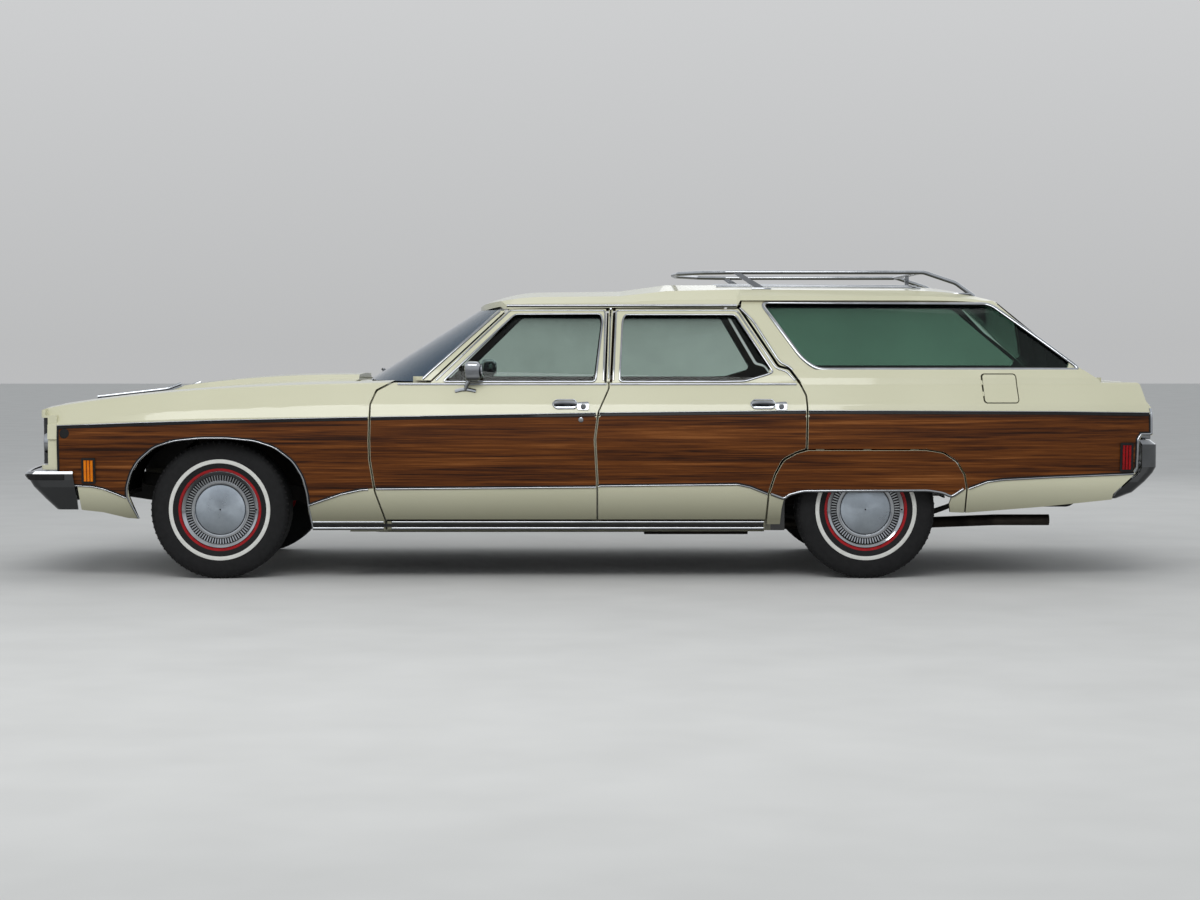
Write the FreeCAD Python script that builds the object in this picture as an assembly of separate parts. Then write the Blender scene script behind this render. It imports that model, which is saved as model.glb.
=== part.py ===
"""Full-size station wagon of the early seventies, in millimetres.

The nose points to -X, the left side to -Y and Z is up. The origin lies on the
ground under the middle of the car. Left-hand pieces are drawn and then
mirrored for the right-hand side.
"""
import FreeCAD
import Part
import math
import os

V = FreeCAD.Vector

# Driving dimensions of the car.
LENGTH = 5766.0
WHEELBASE = 3226.0
FRONT_AXLE_X = -1841.0
REAR_AXLE_X = FRONT_AXLE_X + WHEELBASE
TRACK_HALF = 814.0
TYRE_RADIUS = 345.0
TYRE_WIDTH = 216.0
RIM_RADIUS = 193.0
FLOOR_TOP = 315.0
LOAD_FLOOR_TOP = 605.0
TIP_X = LENGTH / 2

# Wall thicknesses and clearances.
FRAME_SKIN = 10.0
FRAME_THICK = 28.0
GLASS_THICK = 5.0
ROOF_DEPTH = 26.0
PAN_THICK = 15.0
POST_SETBACK = 18.0
REST_GAP = 0.3

# Drum of the sliding gate, half width of the inner shell and the kingpins.
GATE_CENTRE = (2315.0, 800.0)
GATE_OUTER_R = 430.0
GATE_INNER_R = 365.0
GATE_HALF_WIDTH = 690.0
SHELL_HALF = 780.0
KINGPIN_Y = -745.0


def vec(a, b, c):
    return V(float(a), float(b), float(c))


def rounded_wire(rows, place):
    """Closed wire through rows of (a, b) or (a, b, corner radius)."""
    count = len(rows)
    corners = []
    for i in range(count):
        prev = rows[i - 1]
        here = rows[i]
        nxt = rows[(i + 1) % count]
        radius = here[2] if len(here) > 2 else 0.0
        p = V(here[0], here[1], 0)
        if radius <= 0:
            corners.append((p, None, p))
            continue
        u = (V(prev[0], prev[1], 0) - p).normalize()
        w = (V(nxt[0], nxt[1], 0) - p).normalize()
        half = u.getAngle(w) / 2
        back = radius / math.tan(half)
        mid_dir = (u + w).normalize()
        middle = p + mid_dir * (radius / math.sin(half) - radius)
        corners.append((p + u * back, middle, p + w * back))
    edges = []
    for i in range(count):
        first, middle, last = corners[i]
        nxt_first = corners[(i + 1) % count][0]
        if middle is not None:
            edges.append(Part.Arc(place(first), place(middle), place(last)).toShape())
        edges.append(Part.makeLine(place(last), place(nxt_first)))
    return Part.Wire(edges)


def prism_y(rows, y0, y1):
    wire = rounded_wire(rows, lambda p: V(p.x, y0, p.y))
    return Part.Face(wire).extrude(V(0, y1 - y0, 0))


def prism_x(rows, x0, x1):
    wire = rounded_wire(rows, lambda p: V(x0, p.x, p.y))
    return Part.Face(wire).extrude(V(x1 - x0, 0, 0))


def prism_z(rows, z0, z1):
    wire = rounded_wire(rows, lambda p: V(p.x, p.y, z0))
    return Part.Face(wire).extrude(V(0, 0, z1 - z0))


def loft_x(stations, ruled=False):
    """Solid through closed sections, each given as (x, rows of y, z, radius)."""
    wires = []
    for x, rows in stations:
        wires.append(rounded_wire(rows, lambda p, x=x: V(x, p.x, p.y)))
    return Part.makeLoft(wires, True, ruled)


def loft_z(levels, ruled=True):
    wires = []
    for z, rows in levels:
        wires.append(rounded_wire(rows, lambda p, z=z: V(p.x, p.y, z)))
    return Part.makeLoft(wires, True, ruled)


def box(x0, x1, y0, y1, z0, z1):
    return Part.makeBox(x1 - x0, y1 - y0, z1 - z0, vec(x0, y0, z0))


def cyl(centre, axis, radius, length):
    return Part.makeCylinder(radius, length, vec(*centre), vec(*axis))


def rod(rows, radius, bend=40.0):
    """Round bar along a line of points, with its corners bent."""
    points = [vec(*row) for row in rows]
    edges = []
    last = points[0]
    for i in range(1, len(points) - 1):
        p = points[i]
        u = (points[i - 1] - p).normalize()
        w = (points[i + 1] - p).normalize()
        half = u.getAngle(w) / 2
        back = bend / math.tan(half)
        middle = p + (u + w).normalize() * (bend / math.sin(half) - bend)
        edges.append(Part.makeLine(last, p + u * back))
        edges.append(Part.Arc(p + u * back, middle, p + w * back).toShape())
        last = p + w * back
    edges.append(Part.makeLine(last, points[-1]))
    ring = Part.Wire(Part.makeCircle(radius, points[0], points[1] - points[0]))
    return Part.Wire(edges).makePipeShell([ring], True, True)


def fuse(shapes):
    result = shapes[0]
    if len(shapes) > 1:
        result = shapes[0].multiFuse(shapes[1:])
    return result.removeSplitter()


def mirror(shape):
    return shape.mirror(V(0, 0, 0), V(0, 1, 0))


def both(shape):
    return Part.makeCompound([shape, mirror(shape)])


def keep(shape):
    """One solid, or a compound of solids, ready to write."""
    solids = shape.Solids
    if len(solids) == 1:
        return solids[0]
    return Part.makeCompound(solids)


def write(name, shape):
    ready = keep(shape)
    ready.exportStep("parts/" + name + ".step")


def inset_rows(rows, dx):
    return [(r[0] + dx,) + tuple(r[1:]) for r in rows]


os.makedirs("parts", exist_ok=True)

# Side of the body. Columns: y, z, corner radius, from the sill up to the belt.
SIDE_SKIN = (
    (-905, 236, 0),
    (-955, 250, 0),
    (-960, 298, 0),
    (-988, 459, 250),
    (-1008, 680, 200),
    (-1001, 815, 0),
    (-984, 872, 45),
    (-918, 980, 20),
)
SIDE_CORE = (
    (-880, 980, 0),
    (-890, 964, 0),
    (-953, 860, 0),
    (-971, 810, 0),
    (-978, 680, 0),
    (-958, 459, 0),
    (-930, 298, 0),
    (-925, 262, 0),
    (-900, 262, 0),
)
SIDE_INNER = (
    (-880, 980, 0),
    (-880, 960, 0),
    (-840, 900, 0),
    (-840, 236, 0),
)
MID_X0 = -1100.0
MID_X1 = 1900.0


def scaled(rows, k):
    """Section rows with their widths scaled."""
    return [(y * k, z, r) for y, z, r in rows]


# Side glass and window frames lie between these two section lines.
# Columns: y, z. The three points of each line carry an arc.
GLASS_LINE = ((-902, 975), (-806, 1170), (-668, 1352))
REAR_LINE = ((-902, 975), (-800, 1190), (-650, 1398))


def offset_line(line, depth):
    lean = math.radians(31.5)
    dy = depth * math.cos(lean)
    dz = -depth * math.sin(lean)
    return tuple((y + dy, z + dz) for y, z in line)


def leaning_wire(line, d0, d1, x, k=1.0):
    a = offset_line(line, d0)
    b = offset_line(line, d1)
    pa = [V(x, y * k, z) for y, z in a]
    pb = [V(x, y * k, z) for y, z in b]
    edges = [
        Part.Arc(pa[0], pa[1], pa[2]).toShape(),
        Part.makeLine(pa[2], pb[2]),
        Part.Arc(pb[2], pb[1], pb[0]).toShape(),
        Part.makeLine(pb[0], pa[0]),
    ]
    return Part.Wire(edges)


def leaning_plate(line, d0, d1, x0, x1, k1=1.0):
    w0 = leaning_wire(line, d0, d1, x0)
    if k1 == 1.0:
        return Part.Face(w0).extrude(V(x1 - x0, 0, 0))
    w1 = leaning_wire(line, d0, d1, x1, k1)
    return Part.makeLoft([w0, w1], True, True)


# Wall layers of the straight middle of the body.
mid_skin = prism_x(SIDE_SKIN + SIDE_CORE, MID_X0, MID_X1)
DOOR_BACK = ((-840, 262, 0), (-840, 900, 0), (-878, 958, 0))
mid_core = prism_x(SIDE_CORE[1:] + DOOR_BACK, MID_X0, MID_X1)

# Front door, seen from the side. Columns: x, z, corner radius.
FRONT_DOOR = (
    (-1007, 300, 0),
    (-1056, 437, 60),
    (-1081, 600, 60),
    (-1083, 700, 60),
    (-1078, 873, 40),
    (-1050, 938, 20),
    (-960, 985, 0),
    (96, 985, 0),
    (96, 950, 20),
    (44, 835, 60),
    (27, 700, 60),
    (38, 500, 60),
    (39, 300, 0),
)
FRONT_DOOR_CORE = (
    (-990, 312, 0),
    (-1040, 437, 0),
    (-1063, 700, 0),
    (-1056, 873, 0),
    (-960, 985, 0),
    (70, 985, 0),
    (8, 850, 0),
    (8, 312, 0),
)
REAR_DOOR = (
    (48, 300, 0),
    (47, 500, 60),
    (36, 700, 60),
    (53, 835, 60),
    (105, 950, 20),
    (105, 985, 0),
    (1040, 985, 0),
    (1050, 971, 0),
    (1077, 915, 40),
    (1081, 857, 60),
    (1077, 655, 10),
    (1025, 637, 40),
    (960, 602, 60),
    (922, 529, 40),
    (890, 428, 60),
    (878, 300, 0),
)
REAR_DOOR_CORE = (
    (78, 312, 0),
    (78, 850, 0),
    (125, 985, 0),
    (1010, 985, 0),
    (1048, 900, 0),
    (1052, 680, 0),
    (1000, 655, 0),
    (930, 610, 0),
    (895, 529, 0),
    (862, 428, 0),
    (850, 312, 0),
)
# Window frames and openings of the doors. Columns: x, z, corner radius.
FRONT_FRAME = (
    (-800, 968, 0),
    (-410, 1340, 12),
    (-398, 1350, 0),
    (90, 1350, 8),
    (78, 968, 0),
)
FRONT_WINDOW = (
    (-728, 984, 12),
    (-374, 1322, 12),
    (64, 1324, 16),
    (72, 1290, 30),
    (34, 984, 8),
)
REAR_FRAME = (
    (117, 968, 0),
    (137, 1350, 8),
    (760, 1350, 10),
    (945, 1056, 30),
    (1000, 1042, 30),
    (1048, 975, 0),
    (1048, 968, 0),
)
REAR_WINDOW = (
    (154, 984, 8),
    (171, 1289, 30),
    (183, 1320, 16),
    (742, 1320, 20),
    (923, 1032, 30),
    (781, 986, 40),
    (681, 984, 0),
)


def door(outline, core, frame, window, inset):
    """Door skin, door box and window frame in one piece."""
    skin = mid_skin.common(prism_y(outline, -1100, -700))
    box_part = mid_core.common(prism_y(core, -1100, -700))
    x0 = min(r[0] for r in frame) - 20
    x1 = max(r[0] for r in frame) + 20
    outer = leaning_plate(GLASS_LINE, 0, FRAME_SKIN, x0, x1)
    inner = leaning_plate(GLASS_LINE, FRAME_SKIN, FRAME_THICK, x0, x1)
    outer = outer.common(prism_y(frame, -1100, -500))
    inner = inner.common(prism_y(inset, -1100, -500))
    hole = prism_y(window, -1100, -500)
    whole = fuse([skin, box_part, outer.cut(hole), inner.cut(hole)])
    return whole


def window_glass(window, line=GLASS_LINE, k1=1.0, x0=None, x1=None):
    depth = 12.0
    if x0 is None:
        x0 = min(r[0] for r in window) - 20
        x1 = max(r[0] for r in window) + 20
    plate = leaning_plate(line, depth, depth + GLASS_THICK, x0, x1, k1)
    return plate.common(prism_y(window, -1100, -500))


FRONT_FRAME_INNER = (
    (-790, 968, 0),
    (-398, 1342, 0),
    (80, 1342, 0),
    (68, 968, 0),
)
REAR_FRAME_INNER = (
    (123, 968, 0),
    (145, 1342, 0),
    (744, 1342, 0),
    (925, 1052, 20),
    (985, 1036, 20),
    (1028, 968, 0),
)
door_front = door(FRONT_DOOR, FRONT_DOOR_CORE, FRONT_FRAME, FRONT_WINDOW, FRONT_FRAME_INNER)
door_rear = door(REAR_DOOR, REAR_DOOR_CORE, REAR_FRAME, REAR_WINDOW, REAR_FRAME_INNER)
glass_front = window_glass(FRONT_WINDOW)
glass_rear = window_glass(REAR_WINDOW)

write("door_front_left", door_front)
write("door_front_right", mirror(door_front))
write("door_rear_left", door_rear)
write("door_rear_right", mirror(door_rear))
write("glass_front_left", glass_front)
write("glass_front_right", mirror(glass_front))
write("glass_rear_left", glass_rear)
write("glass_rear_right", mirror(glass_rear))


# Left side of the body behind the doors. Columns: x, z, corner radius.
QUARTER = (
    (1052, 1000, 0),
    (1052, 985, 0),
    (1060, 974, 0),
    (1086, 918, 45),
    (1090, 857, 70),
    (1086, 652, 0),
    (1675, 652, 40),
    (1764, 637, 60),
    (1830, 592, 60),
    (1870, 526, 60),
    (1883, 453, 40),
    (1876, 333, 0),
    (2258, 363, 0),
    (2606, 398, 0),
    (2612, 426, 0),
    (2722, 528, 0),
    (2735, 553, 0),
    (2738, 690, 15),
    (2752, 718, 10),
    (2806, 718, 4),
    (2806, 826, 20),
    (2800, 858, 20),
    (2778, 887, 20),
    (2755, 979.6, 24),
    (2600, 979.6, 0),
    (2590, 1000, 0),
)
REAR_STATIONS = ((1900, 1.0), (2130, 0.9985), (2440, 0.986), (2820, 0.9475))
WALL = SIDE_SKIN + SIDE_INNER


def side_loft(stations, rows):
    return loft_x([(x, scaled(rows, k)) for x, k in stations])


WHEELHOUSE_R = 400.0
mid_wall = prism_x(WALL, MID_X0, MID_X1)
post_rows = inset_rows(SIDE_CORE[1:], POST_SETBACK) + [(-800, 262, 0), (-800, 985, 0)]
post_core = prism_x(post_rows, MID_X0, MID_X1)
rear_wall = side_loft(REAR_STATIONS, WALL)
wheel_space = fuse([
    cyl((REAR_AXLE_X, -976, TYRE_RADIUS), (0, 1, 0), WHEELHOUSE_R, 400),
    box(REAR_AXLE_X - WHEELHOUSE_R, REAR_AXLE_X + WHEELHOUSE_R, -976, -576, 0, TYRE_RADIUS),
])
quarter_side = prism_y(QUARTER, -1100, -700)
quarter = fuse([mid_wall.common(quarter_side), rear_wall.common(quarter_side)])
TAIL_LAMP_X = 2750.0
lamp_niche = box(TAIL_LAMP_X - REST_GAP, 2830, -906, -690, 699, 868)
quarter = quarter.cut(wheel_space).cut(lamp_niche)

# Tub over the rear wheel, inside the load space.
tub_out = cyl((REAR_AXLE_X, -850, TYRE_RADIUS), (0, 1, 0), WHEELHOUSE_R + 8, 168)
tub_in = cyl((REAR_AXLE_X, -860, TYRE_RADIUS), (0, 1, 0), WHEELHOUSE_R, 170)
tub = tub_out.cut(tub_in).common(box(900, 1900, -850, -600, 400, 900))
quarter = fuse([quarter, tub])

ROCKER = (
    (-905, 236, 0),
    (-955, 250, 0),
    (-959, 291, 0),
    (-826, 291, 0),
    (-826, 330, 0),
    (-780, 330, 0),
    (-780, 236, 0),
)
rocker = fuse([prism_x(ROCKER, -1001, 876), box(-1190, -1000, -915, -780, 236, 291)])
dogleg = fuse([
    box(850, 1100, -828, -780, 236, 955),
    box(1066, 1110, -850, -780, 655, 955),
]).cut(wheel_space)
hinge_post = prism_y(
    (
        (-1190, 236, 0),
        (-1190, 925, 0),
        (-1020, 925, 0),
        (-1070, 880, 0),
        (-1078, 700, 0),
        (-1054, 437, 0),
        (-1004, 291, 0),
        (-1004, 236, 0),
    ),
    -915,
    -780,
)
post_clip = inset_rows(SIDE_CORE, 8) + [(-700, 236, 0), (-700, 985, 0)]
hinge_post = hinge_post.common(prism_x(post_clip, -1200, -900))
cowl_side = box(-1190, -790, -828, -780, 880, 938)
gusset = fuse([
    box(-880, -815, -828, -780, 900, 1010),
    box(-862, -815, -866, -780, 990, 1010),
])
a_pillar = leaning_plate(GLASS_LINE, 0, 40, -900, -380)
a_pillar = a_pillar.common(
    prism_y(((-836, 991, 0), (-788, 991, 0), (-422, 1341, 0), (-462, 1341, 0)), -1100, -500)
)
b_post = post_core.common(
    prism_y(
        ((20, 291, 0), (20, 855, 0), (86, 985, 0), (110, 985, 0), (65, 853, 0), (65, 291, 0)),
        -1100,
        -700,
    )
)
b_strip = leaning_plate(GLASS_LINE, 12, 44, 60, 160)
b_strip = b_strip.common(
    prism_y(((90, 985, 0), (103, 1358, 0), (124, 1358, 0), (106, 985, 0)), -1100, -500)
)
b_foot = box(90, 105.6, -866, -810, 930, 992)

# Window surround of the rear quarter. Columns: x, z, corner radius.
QUARTER_FRAME = (
    (772, 1356, 0),
    (778, 1392, 0),
    (2058, 1392, 20),
    (2222, 1239, 300),
    (2339, 1154, 300),
    (2471, 1047, 300),
    (2552, 992, 0),
    (2560, 970, 0),
    (1062, 970, 0),
    (1062, 978, 0),
    (1009, 1053, 30),
    (955, 1066, 30),
)
QUARTER_WINDOW = (
    (872, 1382, 25),
    (2040, 1376, 20),
    (2468, 1044, 30),
    (1143, 1044, 60),
    (1070, 1097, 60),
)
QUARTER_K = 0.955
rear_plate = leaning_plate(REAR_LINE, 0, 30, 740, 2580, QUARTER_K)
rear_frame = rear_plate.common(prism_y(QUARTER_FRAME, -1100, -500))
rear_frame = rear_frame.cut(prism_y(QUARTER_WINDOW, -1100, -500))
HAUNCH = (
    (-926, 966, 0),
    (-911, 1003, 0),
    (-878, 1044, 0),
    (-838, 1044, 0),
    (-838, 966, 0),
)
haunch = fuse([prism_x(HAUNCH, 1000, 1900), side_loft(REAR_STATIONS, HAUNCH)])
haunch = haunch.common(prism_y(QUARTER_FRAME, -1100, -500))
quarter = fuse([quarter, haunch])
quarter_glass = window_glass(QUARTER_WINDOW, REAR_LINE, QUARTER_K, 740, 2580)
body_left = fuse([
    quarter,
    rocker,
    dogleg,
    hinge_post,
    cowl_side,
    gusset,
    a_pillar,
    b_post,
    b_foot,
    b_strip,
    rear_frame,
])
write("quarter_glass", both(quarter_glass))

# Roof: the front panel and the raised rear panel, each in runs of sections.
# Columns: x, height of the crown, of the shoulder and of the side edge, half width.
ROOF_NOSE = (
    (-575, 1364, 1350, 1326, 672),
    (-463, 1410, 1386, 1347, 672),
    (-351, 1438, 1405, 1352, 672),
    (-240, 1447, 1412, 1354, 672),
)
ROOF_FRONT = ((-240, 1447, 1412, 1354, 672), (420, 1455, 1418, 1358, 672))
ROOF_STEP = (
    (140, 1449, 1414, 1356, 664),
    (402, 1486, 1442, 1358, 672),
    (752, 1485, 1450, 1358, 672),
    (770, 1485, 1450, 1393, 672),
)
ROOF_REAR = ((770, 1485, 1450, 1393, 672), (1640, 1479, 1446, 1393, 656))
ROOF_TAIL = (
    (1640, 1479, 1446, 1393, 656),
    (1787, 1468, 1439, 1392, 653),
    (1933, 1444, 1422, 1387, 650),
    (2080, 1398, 1388, 1372, 647),
)


def roof_rows(crown, shoulder, edge, half, depth):
    """Closed crown-shaped section of a roof panel of the given depth."""
    c = crown
    e = edge
    return (
        (-half, e, 0),
        (-half + 18, e + (shoulder - e) * 0.45, 0),
        (-half + 72, shoulder, 0),
        (-300, c - (c - shoulder) * 0.18, 0),
        (0, c, 0),
        (300, c - (c - shoulder) * 0.18, 0),
        (half - 72, shoulder, 0),
        (half - 18, e + (shoulder - e) * 0.45, 0),
        (half, e, 0),
        (half - depth * 1.6, e, 0),
        (half - 90, shoulder - depth, 0),
        (0, c - depth, 0),
        (-half + 90, shoulder - depth, 0),
        (-half + depth * 1.6, e, 0),
    )


def header_arc(x_mid, x_end, half, z):
    a = V(x_end, -half, z)
    b = V(x_mid, 0, z)
    c = V(x_end, half, z)
    return Part.Arc(a, b, c).toShape(), a, c


def ahead_of_arc(x_mid, x_end, half, z0, z1):
    arc, a, c = header_arc(x_mid, x_end, half, z0)
    far = x_mid - 600
    lines = [
        Part.makeLine(c, V(far, half, z0)),
        Part.makeLine(V(far, half, z0), V(far, -half, z0)),
        Part.makeLine(V(far, -half, z0), a),
    ]
    return Part.Face(Part.Wire([arc] + lines)).extrude(V(0, 0, z1 - z0))


def roof_run(stations, ruled):
    return loft_x([(row[0], roof_rows(*row[1:], ROOF_DEPTH)) for row in stations], ruled)


roof_front = fuse([roof_run(ROOF_NOSE, False), roof_run(ROOF_FRONT, True)])
roof_front = roof_front.cut(ahead_of_arc(-574, -395, 700, 1200, 1600))
roof = fuse([
    roof_front,
    roof_run(ROOF_STEP, True),
    roof_run(ROOF_REAR, True),
    roof_run(ROOF_TAIL, False),
])
write("roof", roof)
body_left = body_left.cut(roof)

# Windshield between a low and a high arc.
# Columns: height, middle x, end x, half width.
SCREEN_LEVELS = ((985, -1164, -838, 852), (1346, -588, -436, 634))


def screen_wire(z, x_mid, x_end, half, thick):
    outer, a, c = header_arc(x_mid, x_end, half, z)
    inner, d, e = header_arc(x_mid + thick, x_end + thick, half - thick * 0.4, z)
    return Part.Wire([outer, Part.makeLine(c, e), inner, Part.makeLine(d, a)])


SCREEN_THICK = 9.0
screen_wires = [screen_wire(*level, SCREEN_THICK) for level in SCREEN_LEVELS]
windshield = Part.makeLoft(screen_wires, True, True)
pillar_foot = fuse([a_pillar, gusset])
windshield = windshield.cut(pillar_foot).cut(mirror(pillar_foot))
windshield = max(windshield.Solids, key=lambda s: s.Volume)
write("windshield", windshield)

# Front fender. Columns: x, width factor, crest height, lower sill height.
FENDER_STATIONS = (
    (-2648, 0.955, 868),
    (-2410, 0.976, 902),
    (-1904, 0.993, 951),
    (-1399, 0.999, 975),
    (-960, 1.0, 986),
)


def fender_rows(k, crest):
    drop = 986.0 - crest
    outer = (
        (-955 * k, 246, 0),
        (-960 * k, 298, 0),
        (-988 * k, 459, 120),
        (-1008 * k, 680, 120),
        (-1001 * k, 815 - drop * 0.35, 0),
        (-984 * k, 872 - drop * 0.75, 30),
        (-915 * k, 982 - drop, 25),
        (-773 * k, 990 - drop, 0),
    )
    inner = (
        (-773 * k, 962 - drop, 0),
        (-895 * k, 950 - drop, 0),
        (-955 * k, 850 - drop * 0.75, 0),
        (-976 * k, 680, 0),
        (-958 * k, 459, 0),
        (-930 * k, 298, 0),
        (-925 * k, 246, 0),
    )
    return outer + inner


FENDER_SIDE = (
    (-2642, 480, 0),
    (-2542, 471, 0),
    (-2525, 347, 0),
    (-2414, 335, 0),
    (-2295, 307, 0),
    (-2240, 303, 0),
    (-2284, 415, 60),
    (-2289, 464, 60),
    (-2270, 530, 60),
    (-2233, 590, 60),
    (-2154, 657, 60),
    (-2054, 689, 120),
    (-1921, 702, 200),
    (-1790, 702, 200),
    (-1656, 689, 120),
    (-1557, 657, 60),
    (-1471, 590, 60),
    (-1424, 511, 60),
    (-1401, 425, 60),
    (-1393, 340, 0),
    (-1372, 246, 0),
    (-1010, 246, 0),
    (-1016, 300, 0),
    (-1065, 437, 60),
    (-1090, 600, 60),
    (-1092, 700, 60),
    (-1087, 875, 40),
    (-1058, 946, 20),
    (-968, 992, 0),
    (-968, 1100, 0),
    (-2642, 1100, 0),
)
ARCH_LINER = (
    (-2302, 415, 0),
    (-2307, 464, 0),
    (-2286, 540, 0),
    (-2246, 604, 0),
    (-2164, 674, 0),
    (-2058, 707, 0),
    (-1921, 720, 0),
    (-1790, 720, 0),
    (-1650, 707, 0),
    (-1547, 674, 0),
    (-1457, 604, 0),
    (-1408, 520, 0),
    (-1386, 425, 0),
)
ARCH_CUT = (
    (-2294, 405, 0),
    (-2299, 464, 0),
    (-2278, 536, 0),
    (-2240, 598, 0),
    (-2160, 666, 0),
    (-2057, 699, 0),
    (-1921, 712, 0),
    (-1790, 712, 0),
    (-1652, 699, 0),
    (-1551, 666, 0),
    (-1463, 598, 0),
    (-1415, 517, 0),
    (-1394, 405, 0),
)
fender_shell = loft_x([(x, fender_rows(k, c)) for x, k, c in FENDER_STATIONS])
fender = fender_shell.common(prism_y(FENDER_SIDE, -1100, -700))
liner = prism_y(ARCH_LINER, -955, -545).cut(prism_y(ARCH_CUT, -960, -540))
apron = prism_y(((-2600, 480), (-2600, 835), (-1195, 925), (-1195, 480)), -553, -545)
apron = apron.cut(prism_y(ARCH_CUT, -960, -540))
fender_left = fuse([fender, liner, apron])
write("fender_left", fender_left)
write("fender_right", mirror(fender_left))

# Hood, with a bulge that starts on a short ramp.
# Columns: x, crown height, edge height, rise of the middle bulge, width factor.
HOOD_FRONT = (
    (-2694, 866, 860, 2, 0.955),
    (-2440, 893, 889, 3, 0.974),
    (-2190, 921, 916, 4, 0.984),
)
HOOD_RAMP = ((-2190, 921, 916, 4, 0.984), (-2105, 930, 924, 32, 0.987))
HOOD_REAR = (
    (-2105, 930, 924, 32, 0.987),
    (-1700, 974, 950, 30, 0.996),
    (-1194, 992, 972, 26, 1.0),
)
HOOD_DEPTH = 28.0
HOOD_HALF = SHELL_HALF - 15.0


def hood_rows(crown, edge, rise, k):
    outer = (
        (-HOOD_HALF * k, edge, 0),
        (-560 * k, edge + (crown - edge) * 0.6, 0),
        (-372, crown - 2, 0),
        (-338, crown + rise * 0.82, 0),
        (0, crown + rise, 0),
        (338, crown + rise * 0.82, 0),
        (372, crown - 2, 0),
        (560 * k, edge + (crown - edge) * 0.6, 0),
        (HOOD_HALF * k, edge, 0),
    )
    inner = (
        (HOOD_HALF * k, edge - HOOD_DEPTH, 0),
        (0, crown - HOOD_DEPTH, 0),
        (-HOOD_HALF * k, edge - HOOD_DEPTH, 0),
    )
    return outer + inner


def hood_run(stations, ruled):
    return loft_x([(row[0], hood_rows(*row[1:])) for row in stations], ruled)


hood = fuse([hood_run(HOOD_FRONT, False), hood_run(HOOD_RAMP, True), hood_run(HOOD_REAR, False)])
write("hood", hood)

# Rear wheel skirt. Columns: x, z, corner radius.
SKIRT = (
    (887, 276, 0),
    (899, 428, 60),
    (931, 526, 40),
    (969, 594, 60),
    (1031, 629, 40),
    (1088, 645, 0),
    (1673, 645, 40),
    (1761, 630, 60),
    (1824, 586, 60),
    (1862, 523, 60),
    (1875, 453, 40),
    (1868, 333, 0),
    (1799, 336, 0),
    (1793, 378, 15),
    (1805, 410, 10),
    (1761, 431, 30),
    (1685, 443, 60),
    (1066, 440, 60),
    (997, 422, 30),
    (968, 396, 15),
    (959, 352, 15),
    (952, 276, 0),
)
skirt_left = mid_skin.common(prism_y(SKIRT, -1100, -700))
skirt_tabs = [box(x, x + 40, -974, -940, 600, 668) for x in (1130, 1365, 1600)]
tabs = fuse(skirt_tabs + [box(1120, 1650, -975, -940, 655, 668)]).cut(skirt_left)
write("skirt_left", skirt_left)
write("skirt_right", mirror(skirt_left))

# Fuel door low on the left rear shoulder, and the pocket behind it.
FUEL_DOOR = ((1964, 1020, 14), (2128, 1020, 14), (2135, 882, 14), (1969.5, 882, 14))
FUEL_DOOR_HOLE = ((1955, 1025, 18), (2133, 1025, 18), (2140, 877, 18), (1962, 877, 18))
outer_side = fuse([quarter, rear_frame])
fuel_door = outer_side.common(prism_y(FUEL_DOOR, -1100, -700))
fuel_door = fuel_door.cut(outer_side.translated(V(0, 9, 0)))
fuel_door = max(fuel_door.Solids, key=lambda s: s.Volume)
housing = box(1940, 2155, -905, -790, 860, 1040)
HOUSING_WALL = ((-888, 860), (-888, 985), (-872, 1036), (-790, 1040), (-790, 860))
housing = housing.common(prism_x(HOUSING_WALL, 1900, 2200))
fuel_pocket = prism_y(FUEL_DOOR_HOLE, -1100, -820)
filler = cyl((2050, -815, 950), (0, -1, -0.25), 38, 50)
FUEL_HINGE = (1961.0, -937.0, 951.0)
FUEL_HINGE_AXIS = vec(7, -81.4, -138).normalize()
FUEL_PIN_R = 4.5
fuel_pins = [
    cyl(vec(*FUEL_HINGE) + FUEL_HINGE_AXIS * along, FUEL_HINGE_AXIS, FUEL_PIN_R, 24)
    for along in (-44, 20)
]
tail_pillar = box(2560, 2724, -815, -695, 508.3, 979.6)
body_left = fuse([body_left, tabs, tail_pillar])
body_fuel = fuse([body_left, housing]).cut(fuel_pocket)
body_fuel = fuse([body_fuel, filler] + fuel_pins)
write("body_left", body_fuel)
write("body_right", mirror(body_left))
write("fuel_door", fuel_door)

# Cowl between the hood and the windshield, with the firewall under it.
COWL_HALF = SHELL_HALF - 14.0
cowl_top = prism_x(
    (
        (-COWL_HALF, 940),
        (-COWL_HALF, 968),
        (-300, 984.7),
        (300, 984.7),
        (COWL_HALF, 968),
        (COWL_HALF, 940),
    ),
    -1186,
    -790,
)
cowl_top = cowl_top.common(ahead_of_arc(-1150, -824, 852, 900, 1000))
firewall = box(-1186, -1166, -SHELL_HALF, SHELL_HALF, 300, 937)
firewall = firewall.cut(box(-1200, -1150, -130, 130, 290, 440))
firewall = fuse([firewall, box(-1186, -1166, -COWL_HALF, COWL_HALF, 930, 945)])
cowl = fuse([cowl_top, firewall])
write("cowl", cowl)

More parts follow.
